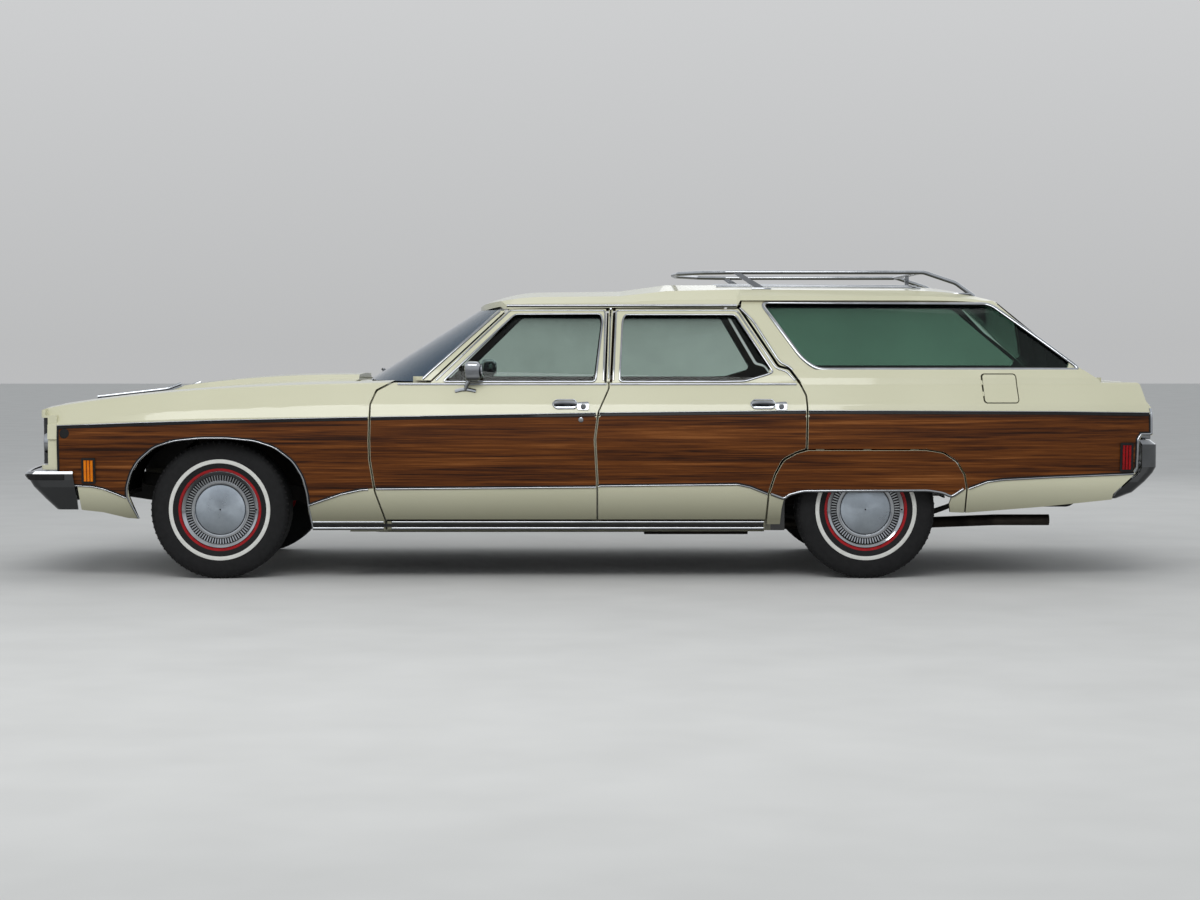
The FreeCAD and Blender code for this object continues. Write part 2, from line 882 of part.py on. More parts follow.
# Floor pan with tunnel, seat step and load floor.
FLOOR_END_X = 2536.0
pan = prism_y(
    (
        (-1160, FLOOR_TOP - PAN_THICK),
        (868, FLOOR_TOP - PAN_THICK),
        (968, LOAD_FLOOR_TOP - PAN_THICK),
        (FLOOR_END_X, LOAD_FLOOR_TOP - PAN_THICK),
        (FLOOR_END_X, LOAD_FLOOR_TOP),
        (958, LOAD_FLOOR_TOP),
        (858, FLOOR_TOP),
        (-1160, FLOOR_TOP),
    ),
    -SHELL_HALF + 6,
    SHELL_HALF - 6,
)
TUNNEL_TOP = 440.0
TUNNEL_WALL = 12.0
tunnel = prism_x(
    (
        (-150, 300),
        (-115, TUNNEL_TOP),
        (115, TUNNEL_TOP),
        (150, 300),
        (138, 300),
        (104, TUNNEL_TOP - TUNNEL_WALL),
        (-104, TUNNEL_TOP - TUNNEL_WALL),
        (-138, 300),
    ),
    -1160,
    905,
)
tub_gap = fuse([
    cyl((REAR_AXLE_X, -900, TYRE_RADIUS), (0, 1, 0), WHEELHOUSE_R + 8, 218),
    cyl((REAR_AXLE_X, 682, TYRE_RADIUS), (0, 1, 0), WHEELHOUSE_R + 8, 218),
])
floor = pan.cut(box(-1170, 960, -128, 128, 290, 430)).cut(tub_gap)
floor = fuse([floor, tunnel])
write("floor", floor)


def plan_band(x_mid, x_corner, x_end, half, corner, thick):
    """Bow-shaped band in plan, open towards +X, with rounded corners."""
    inner = half - thick
    return (
        (x_end, -half, 0),
        (x_corner, -half, corner),
        (x_corner, half, corner),
        (x_end, half, 0),
        (x_end, inner, 0),
        (x_corner + thick, inner, corner * 0.6),
        (x_corner + thick, -inner, corner * 0.6),
        (x_end, -inner, 0),
    )


# Bumper levels. Columns: z, how far the middle, the corner and the end lie
# inside the car's length, half width, thickness.
BUMPER_FRONT = (
    (346, 163, 221, 333, 900, 12),
    (400, 93, 171, 333, 930, 14),
    (462, 33, 121, 331, 970, 14),
    (497, 11, 101, 327, 978, 16),
    (528, 0, 79, 323, 984, 16),
    (540, 11, 91, 323, 978, 14),
)
BUMPER_REAR = (
    (400, 193, 233, 265, 902, 12),
    (431, 121, 161, 247, 925, 14),
    (485, 61, 105, 193, 948, 16),
    (529, 27, 67, 139, 955, 16),
    (560, 0, 51, 129, 960, 18),
    (673, 0, 51, 129, 960, 18),
    (694, 17, 79, 143, 955, 16),
)


def bow_wire(row, sign):
    z, mid_back, corner_back, end_back, half, thick = row
    x_mid = sign * (TIP_X - mid_back)
    x_corner = sign * (TIP_X - corner_back)
    x_end = sign * (TIP_X - end_back)
    inner = half - thick
    r = 46.0
    q = r * 0.29
    xi = x_corner - sign * thick
    mi = x_mid - sign * thick
    pts = [
        V(x_end, -half, z),
        V(x_corner - sign * r, -half, z),
        V(x_corner - sign * q, -half + q, z),
        V(x_corner, -half + r, z),
        V(x_mid, 0, z),
        V(x_corner, half - r, z),
        V(x_corner - sign * q, half - q, z),
        V(x_corner - sign * r, half, z),
        V(x_end, half, z),
        V(x_end, inner, z),
        V(xi - sign * r * 0.6, inner, z),
        V(xi, inner - r * 0.6, z),
        V(mi, 0, z),
        V(xi, -inner + r * 0.6, z),
        V(xi - sign * r * 0.6, -inner, z),
        V(x_end, -inner, z),
    ]
    edges = [
        Part.makeLine(pts[0], pts[1]),
        Part.Arc(pts[1], pts[2], pts[3]).toShape(),
        Part.Arc(pts[3], pts[4], pts[5]).toShape(),
        Part.Arc(pts[5], pts[6], pts[7]).toShape(),
        Part.makeLine(pts[7], pts[8]),
        Part.makeLine(pts[8], pts[9]),
        Part.makeLine(pts[9], pts[10]),
        Part.makeLine(pts[10], pts[11]),
        Part.Arc(pts[11], pts[12], pts[13]).toShape(),
        Part.makeLine(pts[13], pts[14]),
        Part.makeLine(pts[14], pts[15]),
        Part.makeLine(pts[15], pts[0]),
    ]
    return Part.Wire(edges)


bumper_front = Part.makeLoft([bow_wire(row, -1) for row in BUMPER_FRONT], True, True)
front_irons = [box(96 - TIP_X, -2580, y - 30, y + 30, 424, 480) for y in (-400, 400)]
bumper_front = fuse([bumper_front] + front_irons)
bumper_rear = Part.makeLoft([bow_wire(row, 1) for row in BUMPER_REAR], True, True)
rear_irons = [box(2640, TIP_X - 133, y - 22, y + 22, 455, 495) for y in (-760, 760)]
bumper_rear = fuse([bumper_rear] + rear_irons)
write("bumper_front", bumper_front)
write("bumper_rear", bumper_rear)

# Nose panel across the front with pockets for the lamps and the grille.
NOSE_PLAN = (
    (-2642.3, -948, 0),
    (-2722, -940, 20),
    (-2768, 0, 0),
    (-2722, 940, 20),
    (-2642.3, 948, 0),
)
NOSE_SIDE = (
    (-2642.3, 548, 0),
    (-2642.3, 818, 0),
    (-2702, 818, 0),
    (-2702, 850, 0),
    (-2722, 842, 10),
    (-2790, 810, 0),
    (-2790, 548, 0),
)
nose = prism_z(NOSE_PLAN, 540, 870).common(prism_y(NOSE_SIDE, -1000, 1000))
LAMP_Y = (620.0, 800.0)
LAMP_Z = 677.0
LAMP_R = 73.0
LAMP_FACE_X = -2712.0
PANEL_FACE_X = -2722.0
PANEL_Y = (526.0, 874.0)
PANEL_Z = (574.0, 804.0)
LAMP_MID_Y = (LAMP_Y[0] + LAMP_Y[1]) / 2
pockets = []
for side in (-1, 1):
    pockets.append(box(-2800, -2688, side * 760 - 240, side * 760 + 240, 570, 806))
    for lamp_y in LAMP_Y:
        pockets.append(cyl((-2800, side * lamp_y, LAMP_Z), (1, 0, 0), LAMP_R + 4, 200))
pockets.append(box(-2800, -2600, -480, 480, 566, 800))
# Cheeks that carry the fender crests on to the front of the nose.
# Columns: x, width factor, crest height.
CHEEK_STATIONS = ((-2642.3, 0.9545, 868), (-2724, 0.948, 853))
CHEEK_SIDE = (
    (-2600, 700, 0),
    (-2600, 900, 0),
    (-2676, 900, 0),
    (-2719, 838, 30),
    (-2719, 700, 0),
)


def cheek_rows(k, crest):
    """The fender's outer section above the wood, closed towards the hood."""
    outer = [row for row in fender_rows(k, crest)[:8] if row[1] > 600]
    low = (outer[0][0], 640, 0)
    return [low] + outer[:-1] + [(-742, crest + 3.0, 0), (-742, 640, 0)]


cheek = loft_x([(x, cheek_rows(k, c)) for x, k, c in CHEEK_STATIONS], True)
cheek = cheek.common(prism_y(CHEEK_SIDE, -1000, -700))
nose = fuse([nose, cheek, mirror(cheek)])
for pocket in pockets:
    nose = nose.cut(pocket)
write("nose", nose)
panel = box(PANEL_FACE_X, -2690, -PANEL_Y[1], -PANEL_Y[0], *PANEL_Z)
lamps = []
for lamp_y in LAMP_Y:
    panel = panel.cut(cyl((-2800, -lamp_y, LAMP_Z), (1, 0, 0), LAMP_R, 200))
    lamps.append(cyl((LAMP_FACE_X, -lamp_y, LAMP_Z), (1, 0, 0), LAMP_R, -2640 - LAMP_FACE_X))
lamp_back = box(-2642, -2636, -LAMP_MID_Y - 182, -LAMP_MID_Y + 182, 574, 778)
write("headlamps", both(fuse([panel, lamp_back] + lamps)))

GRILLE_PITCH = 30.0
bars = [box(-2736, -2690, -479.7, 479.7, z, z + 8) for z in (568, 680, 790)]
for i in range(-15, 16):
    bars.append(box(-2740, -2690, i * GRILLE_PITCH - 4, i * GRILLE_PITCH + 4, 568, 798))
bars.append(box(-2692, -2686, -479.7, 479.7, 568, 798))
bars.append(box(-2755, -2690, -30, 30, 568, 798))
write("grille", fuse(bars))


def gate_band(r_in, r_out, low, high, half):
    """Slice of a drum about the gate's centre line, between two angles."""
    cx, cz = GATE_CENTRE
    a0 = math.radians(low)
    a1 = math.radians(high)
    am = (a0 + a1) / 2

    def at(r, a):
        return V(cx + r * math.cos(a), -half, cz + r * math.sin(a))

    wire = Part.Wire([
        Part.Arc(at(r_out, a0), at(r_out, am), at(r_out, a1)).toShape(),
        Part.makeLine(at(r_out, a1), at(r_in, a1)),
        Part.Arc(at(r_in, a1), at(r_in, am), at(r_in, a0)).toShape(),
        Part.makeLine(at(r_in, a0), at(r_out, a0)),
    ])
    return Part.Face(wire).extrude(V(0, 2 * half, 0))


gate_ledge = box(2585, 2690, -GATE_HALF_WIDTH, GATE_HALF_WIDTH, 960, 980)
gate_pins = []
for angle in (-25, 15):
    pin_x = GATE_CENTRE[0] + 397 * math.cos(math.radians(angle))
    pin_z = GATE_CENTRE[1] + 397 * math.sin(math.radians(angle))
    gate_pins.append(cyl((pin_x, -GATE_HALF_WIDTH - 4.3, pin_z), (0, 1, 0), 8, 2 * GATE_HALF_WIDTH + 8.6))
gate_skin = gate_band(GATE_INNER_R, GATE_OUTER_R, -33.5, 25.0, GATE_HALF_WIDTH)
tailgate = fuse([gate_skin, gate_ledge] + gate_pins)
write("tailgate", tailgate)

# Rear glass between the sloping rear pillars, and its sill above the gate.
tail_glass = loft_z(
    (
        (1004, ((2518, -786), (2518, 786), (2508, 786), (2508, -786))),
        (1384, ((2080, -612), (2080, 612), (2070, 612), (2070, -612))),
    )
)
tail_glass = tail_glass.cut(roof)
tail_glass = max(tail_glass.Solids, key=lambda s: s.Volume)
write("tailgate_glass", tail_glass)
tail_bar = box(2500, 2574, -830, 830, 966, 1003.7)
tail_bar = tail_bar.cut(body_left).cut(mirror(body_left))
write("tail_bar", tail_bar)
tail_lamp = box(TAIL_LAMP_X, 2800, -900, -760, 705, 862)
write("tail_lamps", both(tail_lamp))

# Perimeter frame. Columns: x, half spacing, height of the rail's middle.
RAIL = (
    (-2580, 400, 450),
    (-2250, 400, 400),
    (-1500, 420, 400),
    (-1250, 560, 258),
    (-1050, 700, 258),
    (760, 700, 258),
    (880, 620, 258),
    (1000, 530, 400),
    (1120, 520, 480),
    (1700, 520, 500),
    (1960, 760, 470),
    (2640, 760, 470),
)
RAIL_WIDE = 60.0
RAIL_HIGH = 76.0


def rail_piece(a, b):
    """Box section between two places on the rail."""
    wires = []
    for x, y, z in (a, b):
        wires.append(
            rounded_wire(
                (
                    (-y - RAIL_WIDE / 2, z - RAIL_HIGH / 2),
                    (-y + RAIL_WIDE / 2, z - RAIL_HIGH / 2),
                    (-y + RAIL_WIDE / 2, z + RAIL_HIGH / 2),
                    (-y - RAIL_WIDE / 2, z + RAIL_HIGH / 2),
                ),
                lambda p, x=x: V(x, p.x, p.y),
            )
        )
    return Part.makeLoft(wires, True, True)


rail = fuse([rail_piece(RAIL[i], RAIL[i + 1]) for i in range(len(RAIL) - 1)])
# Crossmembers. Columns: x from, x to, half width, z from, z to.
CROSSMEMBERS = (
    (-2500, -2440, 400, 410, 470),
    (-1950, -1730, 420, 250, 330),
    (-900, -820, 700, 264, 274.7),
    (1080, 1140, 520, 440, 500),
    (1720, 1780, 560, 470, 520),
)
cross = [box(x0, x1, -w, w, z0, z1) for x0, x1, w, z0, z1 in CROSSMEMBERS]
cross += [box(x, x + 50, y - 25, y + 25, 290, 300) for x in (-980, -200, 560) for y in (-700, 700)]
tower = box(-1920, -1760, -480, -400, 300, 560)
# Front suspension arms in plan. Columns: x, y.
LOWER_ARM = ((-1841, -765), (-1810, -740), (-1720, -440), (-1960, -440), (-1872, -740))
UPPER_ARM = ((-1841, -762), (-1815, -740), (-1760, -470), (-1922, -470), (-1867, -740))
lower_arm = prism_z(LOWER_ARM, 196, 222)
upper_arm = prism_z(UPPER_ARM, 470, 492)
arm_post = box(-1960, -1720, -470, -420, 200, 300)

# Leaf spring. Columns: x, height of its upper face, thickness.
LEAF = ((905, 330, 12), (1385, 262, 26), (2010, 420, 12))
leaf_upper = [V(x, -590, z) for x, z, thick in LEAF]
leaf_under = [V(x, -590, z - thick) for x, z, thick in LEAF]
leaf_wire = Part.Wire([
    Part.Arc(*leaf_upper).toShape(),
    Part.makeLine(leaf_upper[2], leaf_under[2]),
    Part.Arc(*leaf_under).toShape(),
    Part.makeLine(leaf_under[0], leaf_upper[0]),
])
leaf = Part.Face(leaf_wire).extrude(V(0, 60, 0))
leaf_front = box(890, 935, -640, -525, 300, 348)
leaf_rear = box(1985, 2030, -740, -525, 400, 445)
half_side = [rail, tower, lower_arm, upper_arm, arm_post, leaf, leaf_front, leaf_rear]
chassis = fuse(half_side + [mirror(s) for s in half_side] + cross)
write("chassis", chassis)

# Well under the load floor that takes the lowered tailgate.
# Columns: x, z, corner radius.
WELL_GAP = 8.0
WELL_WALL = 6.0
WELL_TOP = LOAD_FLOOR_TOP - PAN_THICK - REST_GAP
WELL_SIDE = (
    (2090, WELL_TOP, 0),
    (2090, 410, 0),
    (2200, 346, 60),
    (2440, 346, 60),
    (2556, 424, 0),
    (2556, WELL_TOP, 0),
)
well_half = GATE_HALF_WIDTH + WELL_GAP
gate_well = prism_y(WELL_SIDE, -well_half - WELL_WALL, well_half + WELL_WALL)
well_room = Part.makeCylinder(
    GATE_OUTER_R + WELL_GAP,
    2 * well_half,
    vec(GATE_CENTRE[0], -well_half, GATE_CENTRE[1]),
    vec(0, 1, 0),
)
gate_well = gate_well.cut(well_room)
write("gate_well", gate_well)

# Steering knuckle with its spindle, and the wheel that turns on it.
HUB_BORE = 22.0
spindle_z = TYRE_RADIUS
knuckle = fuse([
    cyl((FRONT_AXLE_X, KINGPIN_Y, 222.5), (0, 0, 1), 20, 247),
    cyl((FRONT_AXLE_X, KINGPIN_Y + 10, spindle_z), (0, -1, 0), 34, 40),
    cyl((FRONT_AXLE_X, KINGPIN_Y, spindle_z), (0, -1, 0), HUB_BORE - 0.5, 115),
    cyl((FRONT_AXLE_X, KINGPIN_Y - 22, spindle_z), (0, -1, 0), 140, 6),
    box(FRONT_AXLE_X, FRONT_AXLE_X + 130, KINGPIN_Y - 8, KINGPIN_Y + 12, 300, 322),
])
write("knuckle_left", knuckle)
write("knuckle_right", mirror(knuckle))


def turned(profile, x, z):
    """Solid of revolution about the axle line. Rows: y, radius."""
    pts = [V(x, y, z + r) for y, r in profile]
    edges = [Part.makeLine(pts[i], pts[(i + 1) % len(pts)]) for i in range(len(pts))]
    return Part.Face(Part.Wire(edges)).revolve(V(x, 0, z), V(0, 1, 0), 360)


TYRE_IN = -TRACK_HALF + TYRE_WIDTH / 2
TYRE_OUT = -TRACK_HALF - TYRE_WIDTH / 2
# Half section of the tyre. Columns: distance in from the sidewall, radius.
TYRE_HALF = (
    (26, RIM_RADIUS),
    (6, 222),
    (0, 262),
    (5, 302),
    (18, 332),
    (36, TYRE_RADIUS),
)
TYRE_PROFILE = [(TYRE_OUT + inward, r) for inward, r in TYRE_HALF]
TYRE_PROFILE += [(TYRE_IN - inward, r) for inward, r in reversed(TYRE_HALF)]
RIM_PROFILE = (
    (TYRE_OUT + 26, RIM_RADIUS),
    (TYRE_IN - 26, RIM_RADIUS),
    (TYRE_IN - 26, RIM_RADIUS - 14),
    (TYRE_OUT + 60, RIM_RADIUS - 14),
    (TYRE_OUT + 60, 90),
    (TYRE_OUT + 76, 70),
    (TYRE_OUT + 76, HUB_BORE + 8),
    (TYRE_OUT + 140, HUB_BORE + 8),
    (TYRE_OUT + 140, HUB_BORE),
    (TYRE_OUT + 52, HUB_BORE),
    (TYRE_OUT + 44, 0),
    (TYRE_OUT + 2, 0),
    (TYRE_OUT + 4, 44),
    (TYRE_OUT + 10, 52),
    (TYRE_OUT + 14, 118),
    (TYRE_OUT + 22, 126),
    (TYRE_OUT + 26, 146),
    (TYRE_OUT + 12, 172),
    (TYRE_OUT + 10, 186),
)
for name, x in (("front", FRONT_AXLE_X), ("rear", REAR_AXLE_X)):
    tyre = turned(TYRE_PROFILE, x, TYRE_RADIUS)
    wheel = turned(RIM_PROFILE, x, TYRE_RADIUS)
    for side, shape_side in (("left", lambda s: s), ("right", mirror)):
        write("tyre_" + name + "_" + side, shape_side(tyre))
        write("wheel_" + name + "_" + side, shape_side(wheel))

# Rear axle, differential and propeller shaft.
driveline = fuse([
    cyl((REAR_AXLE_X, -700, TYRE_RADIUS), (0, 1, 0), 42, 1400),
    cyl((REAR_AXLE_X, -768, TYRE_RADIUS), (0, 1, 0), 120, 40),
    cyl((REAR_AXLE_X, 728, TYRE_RADIUS), (0, 1, 0), 120, 40),
    cyl((REAR_AXLE_X, -862, TYRE_RADIUS), (0, 1, 0), HUB_BORE - 0.5, 1724),
    Part.makeSphere(135, V(REAR_AXLE_X, 0, TYRE_RADIUS)),
    cyl((-694, 0, TYRE_RADIUS), (1, 0, 0), 36, 2079),
    box(REAR_AXLE_X - 50, REAR_AXLE_X + 50, -600, -520, 262, 320),
    box(REAR_AXLE_X - 50, REAR_AXLE_X + 50, 520, 600, 262, 320),
])
driveline = driveline.cut(leaf).cut(mirror(leaf))
driveline = max(driveline.Solids, key=lambda s: s.Volume)
write("driveline", driveline)

engine = fuse([
    box(-2050, -1400, -230, 230, 360, 800),
    cyl((-1410, 0, TYRE_RADIUS), (1, 0, 0), 70, 715.7),
])
write("engine", engine)
radiator = box(-2490, -2450, -360, 360, 470, 820)
write("radiator", radiator)

PIPE_BORE_R = 24.0
PIPE_END = (2357.0, -600.0, 272.0)
exhaust = fuse([
    rod(((-1400, -262, 420), (-1240, -300, 230), (300, -300, 230)), 28),
    cyl((290, -300, 230), (1, 0, 0), 78, 540).common(box(200, 900, -400, -200, 180, 280)),
    rod(((820, -300, 230), (1600, -300, 230), (2080, -600, 272), PIPE_END), 28),
])
exhaust = exhaust.cut(cyl((PIPE_END[0] - 80, PIPE_END[1], PIPE_END[2]), (1, 0, 0), PIPE_BORE_R, 90))
write("exhaust", exhaust)

# Benches. Columns: name, x of the cushion's front, cushion depth, rows of the underside.
FOOT_Z = FLOOR_TOP + REST_GAP
STEP_Z = LOAD_FLOOR_TOP + REST_GAP
FRONT_UNDERSIDE = ((170, 620, 30), (130, FOOT_Z, 10), (-390, FOOT_Z, 20))
MIDDLE_UNDERSIDE = ((1158, STEP_Z, 0), (957.6, STEP_Z, 0), (857.6, FOOT_Z, 0), (600, FOOT_Z, 20))
BENCHES = (
    ("seat_front", -430, 430, FRONT_UNDERSIDE),
    ("seat_middle", 560, 378, MIDDLE_UNDERSIDE),
)
SEAT_TOP = 560.0
SEAT_BACK_TOP = 980.0
for name, x, depth, underside in BENCHES:
    side = (
        (x, SEAT_TOP - 70, 30),
        (x + 20, SEAT_TOP, 50),
        (x + depth, SEAT_TOP - 30, 20),
        (x + depth + 90, SEAT_BACK_TOP, 45),
        (x + depth + 210, SEAT_BACK_TOP, 45),
    )
    seat = prism_y(side + underside, -676, 676)
    seat = seat.cut(box(-500, 960, -154, 154, 300, TUNNEL_TOP + REST_GAP))
    write(name, seat)

DASH_SIDE = (
    (-1140, 760, 0),
    (-1140, 930, 0),
    (-1060, 950, 30),
    (-860, 938, 60),
    (-790, 900, 30),
    (-800, 800, 30),
    (-840, 690, 30),
    (-1000, 640, 0),
)
dash = prism_y(DASH_SIDE, -SHELL_HALF, SHELL_HALF)
dash = dash.cut(ahead_of_arc(-1140, -814, 852, 600, 1000))
COLUMN_AXIS = (-0.906, 0.0, -0.423)
WHEEL_HUB = (-580.0, -385.0, 872.0)
column_top = vec(*WHEEL_HUB) + vec(*COLUMN_AXIS) * 38.5
column = Part.makeCylinder(32, 330, column_top, vec(*COLUMN_AXIS))
dash = fuse([dash, column])
write("dashboard", dash)
STEER_R = 196.0
STEER_GRIP_R = 12.0
grip = []
for i in range(8):
    a = math.radians(22.5 + 45 * i)
    grip.append(V(STEER_R + STEER_GRIP_R * math.cos(a), 0, STEER_GRIP_R * math.sin(a)))
steer_rim = Part.Face(Part.makePolygon(grip + grip[:1])).revolve(V(0, 0, 0), V(0, 0, 1), 360)
steer_rim.Placement = FreeCAD.Placement(
    vec(*WHEEL_HUB),
    FreeCAD.Rotation(V(0, 0, 1), vec(*COLUMN_AXIS)),
)
steer_hub = cyl(WHEEL_HUB, COLUMN_AXIS, 30, 38)
spoke = box(-6, 6, -STEER_R, STEER_R, -16, 16)
spoke.rotate(V(0, 0, 0), V(0, 1, 0), -25)
spoke.translate(vec(*WHEEL_HUB) + vec(*COLUMN_AXIS) * 8)
steering_wheel = fuse([steer_rim, steer_hub, spoke])
write("steering_wheel", steering_wheel)

# Roof rack: side rails on struts, cross bars and skid strips.
RACK_Y = 550.0
RACK_R = 11.0
rack_side = rod(
    (
        (700, -RACK_Y, 1539),
        (1716, -RACK_Y, 1539),
        (1880, -RACK_Y, 1484),
        (1975, -RACK_Y, 1415),
    ),
    RACK_R,
    80,
)
strut = prism_y(
    ((722, 1546, 0), (760, 1546, 0), (912, 1455, 0), (858, 1455, 0)),
    -RACK_Y - 9,
    -RACK_Y + 9,
)
bow_front = [(760, -RACK_Y, 1539), (600, -480, 1539), (470, -240, 1539), (450, 0, 1539)]
bow_front += [(x, -y, z) for x, y, z in reversed(bow_front[:-1])]
rack = fuse([
    rack_side,
    mirror(rack_side),
    strut,
    mirror(strut),
    rod(bow_front, RACK_R, 60),
    cyl((1700, -RACK_Y, 1539), (0, 1, 0), RACK_R - 1, 2 * RACK_Y),
    box(1690, 1710, -12, 12, 1465, 1539),
]).cut(roof)
rack = max(rack.Solids, key=lambda s: s.Volume)
write("roof_rack", rack)

# Outside mirrors on the front doors.
mirror_foot = prism_y(((-670, 930, 9), (-666, 950, 9), (-553, 950, 9), (-549, 930, 9)), -962, -920)
mirror_arm = prism_y(((-634, 938, 0), (-604, 938, 0), (-560, 1010, 0), (-598, 1010, 0)), -960, -938)
mirror_head = prism_y(((-610, 986, 14), (-618, 1082, 14), (-540, 1089, 14), (-531, 990, 14)), -992, -916)
mirror_left = fuse([mirror_foot, mirror_arm, mirror_head])
mirror_left = mirror_left.cut(door_front.translated(V(0, -REST_GAP, REST_GAP)))
mirror_left = max(mirror_left.Solids, key=lambda s: s.Volume)
write("mirror_left", mirror_left)
write("mirror_right", mirror(mirror_left))
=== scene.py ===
import bpy
import bmesh
import math
from mathutils import Matrix, Vector
from mathutils.bvhtree import BVHTree
from mathutils.geometry import delaunay_2d_cdt


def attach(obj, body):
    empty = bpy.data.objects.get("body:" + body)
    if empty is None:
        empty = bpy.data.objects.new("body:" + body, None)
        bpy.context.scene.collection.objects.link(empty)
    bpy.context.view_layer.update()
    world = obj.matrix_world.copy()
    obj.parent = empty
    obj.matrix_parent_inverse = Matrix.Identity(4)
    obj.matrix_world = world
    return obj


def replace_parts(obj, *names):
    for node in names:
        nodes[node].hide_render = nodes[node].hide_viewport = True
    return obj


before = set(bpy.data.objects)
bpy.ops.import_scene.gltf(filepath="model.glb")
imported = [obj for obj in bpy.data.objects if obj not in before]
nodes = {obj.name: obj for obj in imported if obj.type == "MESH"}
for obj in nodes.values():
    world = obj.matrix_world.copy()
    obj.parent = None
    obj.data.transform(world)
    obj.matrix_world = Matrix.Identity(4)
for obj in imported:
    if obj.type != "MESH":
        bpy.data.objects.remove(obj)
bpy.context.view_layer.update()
scene = bpy.context.scene

# Metres, x backwards, y to the right, z up. The tables given to outline() are in millimetres.
MM = 0.001
SIDES = (("left", -1.0), ("right", 1.0))
FRONT_AXLE, REAR_AXLE, AXLE_Z = -1.841, 1.385, 0.345
WHEEL_Y = 0.814


def lin(r, g, b):
    """Linear light from a colour as it looks, 0 to 255."""
    out = []
    for c in (r / 255.0, g / 255.0, b / 255.0):
        out.append(c / 12.92 if c <= 0.04045 else ((c + 0.055) / 1.055) ** 2.4)
    return (*out, 1.0)


class Tree:
    """A node tree with small helpers to wire it."""

    def __init__(self, nt):
        self.nt = nt

    def feed(self, socket, value):
        """Links an output to a socket, or sets the socket's own value."""
        if isinstance(value, bpy.types.NodeSocket):
            self.nt.links.new(value, socket)
        else:
            socket.default_value = value

    def new(self, kind, **inputs):
        n = self.nt.nodes.new("ShaderNode" + kind)
        for key, value in inputs.items():
            self.feed(n.inputs[key.replace("_", " ")], value)
        return n

    def split(self, kind):
        """The X, Y and Z outputs of a texture coordinate."""
        return self.new("SeparateXYZ", Vector=self.new("TexCoord").outputs[kind]).outputs

    def noise(self, scale, detail=3.0, rough=0.55, stretch=(1, 1, 1), distortion=0.0):
        place = self.new("Mapping", Scale=stretch, Vector=self.new("TexCoord").outputs["Object"])
        n = self.new("TexNoise", Scale=scale, Detail=detail, Roughness=rough, Distortion=distortion)
        self.feed(n.inputs["Vector"], place.outputs["Vector"])
        return n.outputs["Fac"]

    def ramp(self, fac, stops):
        r = self.new("ValToRGB", Fac=fac)
        el = r.color_ramp.elements
        while len(el) < len(stops):
            el.new(0.5)
        for e, (pos, col) in zip(el, stops):
            e.position = pos
            e.color = col
        return r.outputs["Color"]

    def span(self, fac, low, high, start=0.0, end=1.0):
        """A value that goes from low to high while fac goes from start to end."""
        n = self.new("MapRange", Value=fac, From_Min=start, From_Max=end, To_Min=low, To_Max=high)
        return n.outputs["Result"]

    def mix(self, fac, a, b):
        n = self.nt.nodes.new("ShaderNodeMix")
        n.data_type = "RGBA"
        for key, value in (("Factor", fac), ("A", a), ("B", b)):
            self.feed(n.inputs[key], value)
        return n.outputs["Result"]

    def mix_shader(self, fac, a, b):
        n = self.nt.nodes.new("ShaderNodeMixShader")
        for socket, value in zip(n.inputs, (fac, a, b)):
            self.feed(socket, value)
        return n.outputs["Shader"]

    def math(self, kind, a, b=None):
        n = self.nt.nodes.new("ShaderNodeMath")
        n.operation = kind
        for socket, value in zip(n.inputs, (a, b)):
            if value is not None:
                self.feed(socket, value)
        return n.outputs[0]


class Mat(Tree):
    """A material with one main shader."""

    def __init__(self, name):
        self.mat = bpy.data.materials.new(name)
        self.mat.use_nodes = True
        super().__init__(self.mat.node_tree)
        self.bsdf = self.nt.nodes["Principled BSDF"]

    def set(self, **values):
        for key, value in values.items():
            self.feed(self.bsdf.inputs[key.replace("_", " ")], value)

    def bump(self, fac, strength, distance):
        self.set(Normal=self.new("Bump", Strength=strength, Distance=distance, Height=fac).outputs["Normal"])


def inner_mask(m, kind):
    """1 on the faces that look into the car or into a wheel arch, else 0."""
    turn, place = m.split("Normal"), m.split("Object")
    if kind == "down":
        return m.math("LESS_THAN", turn["Z"], -0.25)
    away = m.math("MULTIPLY", turn["Y"], m.math("SIGN", place["Y"]))
    reach = m.math("ABSOLUTE", place["Y"])
    along = m.math("ABSOLUTE", m.math("SUBTRACT", place["X"], (FRONT_AXLE + REAR_AXLE) / 2))
    off_axle = m.math("ABSOLUTE", m.math("SUBTRACT", along, (REAR_AXLE - FRONT_AXLE) / 2))
    arch = m.math("MULTIPLY", m.math("LESS_THAN", off_axle, 0.47), m.math("LESS_THAN", place["Z"], 0.765))
    arch = m.math("MULTIPLY", arch, m.math("LESS_THAN", reach, 0.953))
    skin = m.math("MULTIPLY", m.math("GREATER_THAN", away, 0.6), m.math("GREATER_THAN", reach, 0.90))
    arch = m.math("MULTIPLY", arch, m.math("SUBTRACT", 1.0, skin))
    return m.math("MAXIMUM", m.math("LESS_THAN", away, -0.22), arch)


def paint_mat(name, base, dark, rough=0.32, coat=0.7, inner=None, kind="side", film=None):
    """Faintly clouded paint, with painted shade that darkens it low down and its own colour on inner faces.
    """
    m = Mat(name)
    col = m.ramp(m.noise(1.6, 2.0), [(0.3, lin(*dark)), (0.7, lin(*base))])
    # film is painted shade: an olive dark mixed in towards the bottom, from none at z 0.50 m to 0.9 at z 0.30
    # m
    if film:
        col = m.mix(m.span(m.split("Object")["Z"], 0.0, 0.9, 0.50, 0.30), col, lin(*film))
    if inner:
        col = m.mix(inner_mask(m, kind), col, lin(*inner))
    m.set(Base_Color=col, Roughness=m.span(m.noise(14, 4), rough * 0.85, rough * 1.2))
    m.bump(m.noise(900, 1.0), 0.02, 0.0004)
    m.set(Coat_Weight=coat, Coat_Roughness=0.04, Specular_IOR_Level=0.5)
    return m.mat


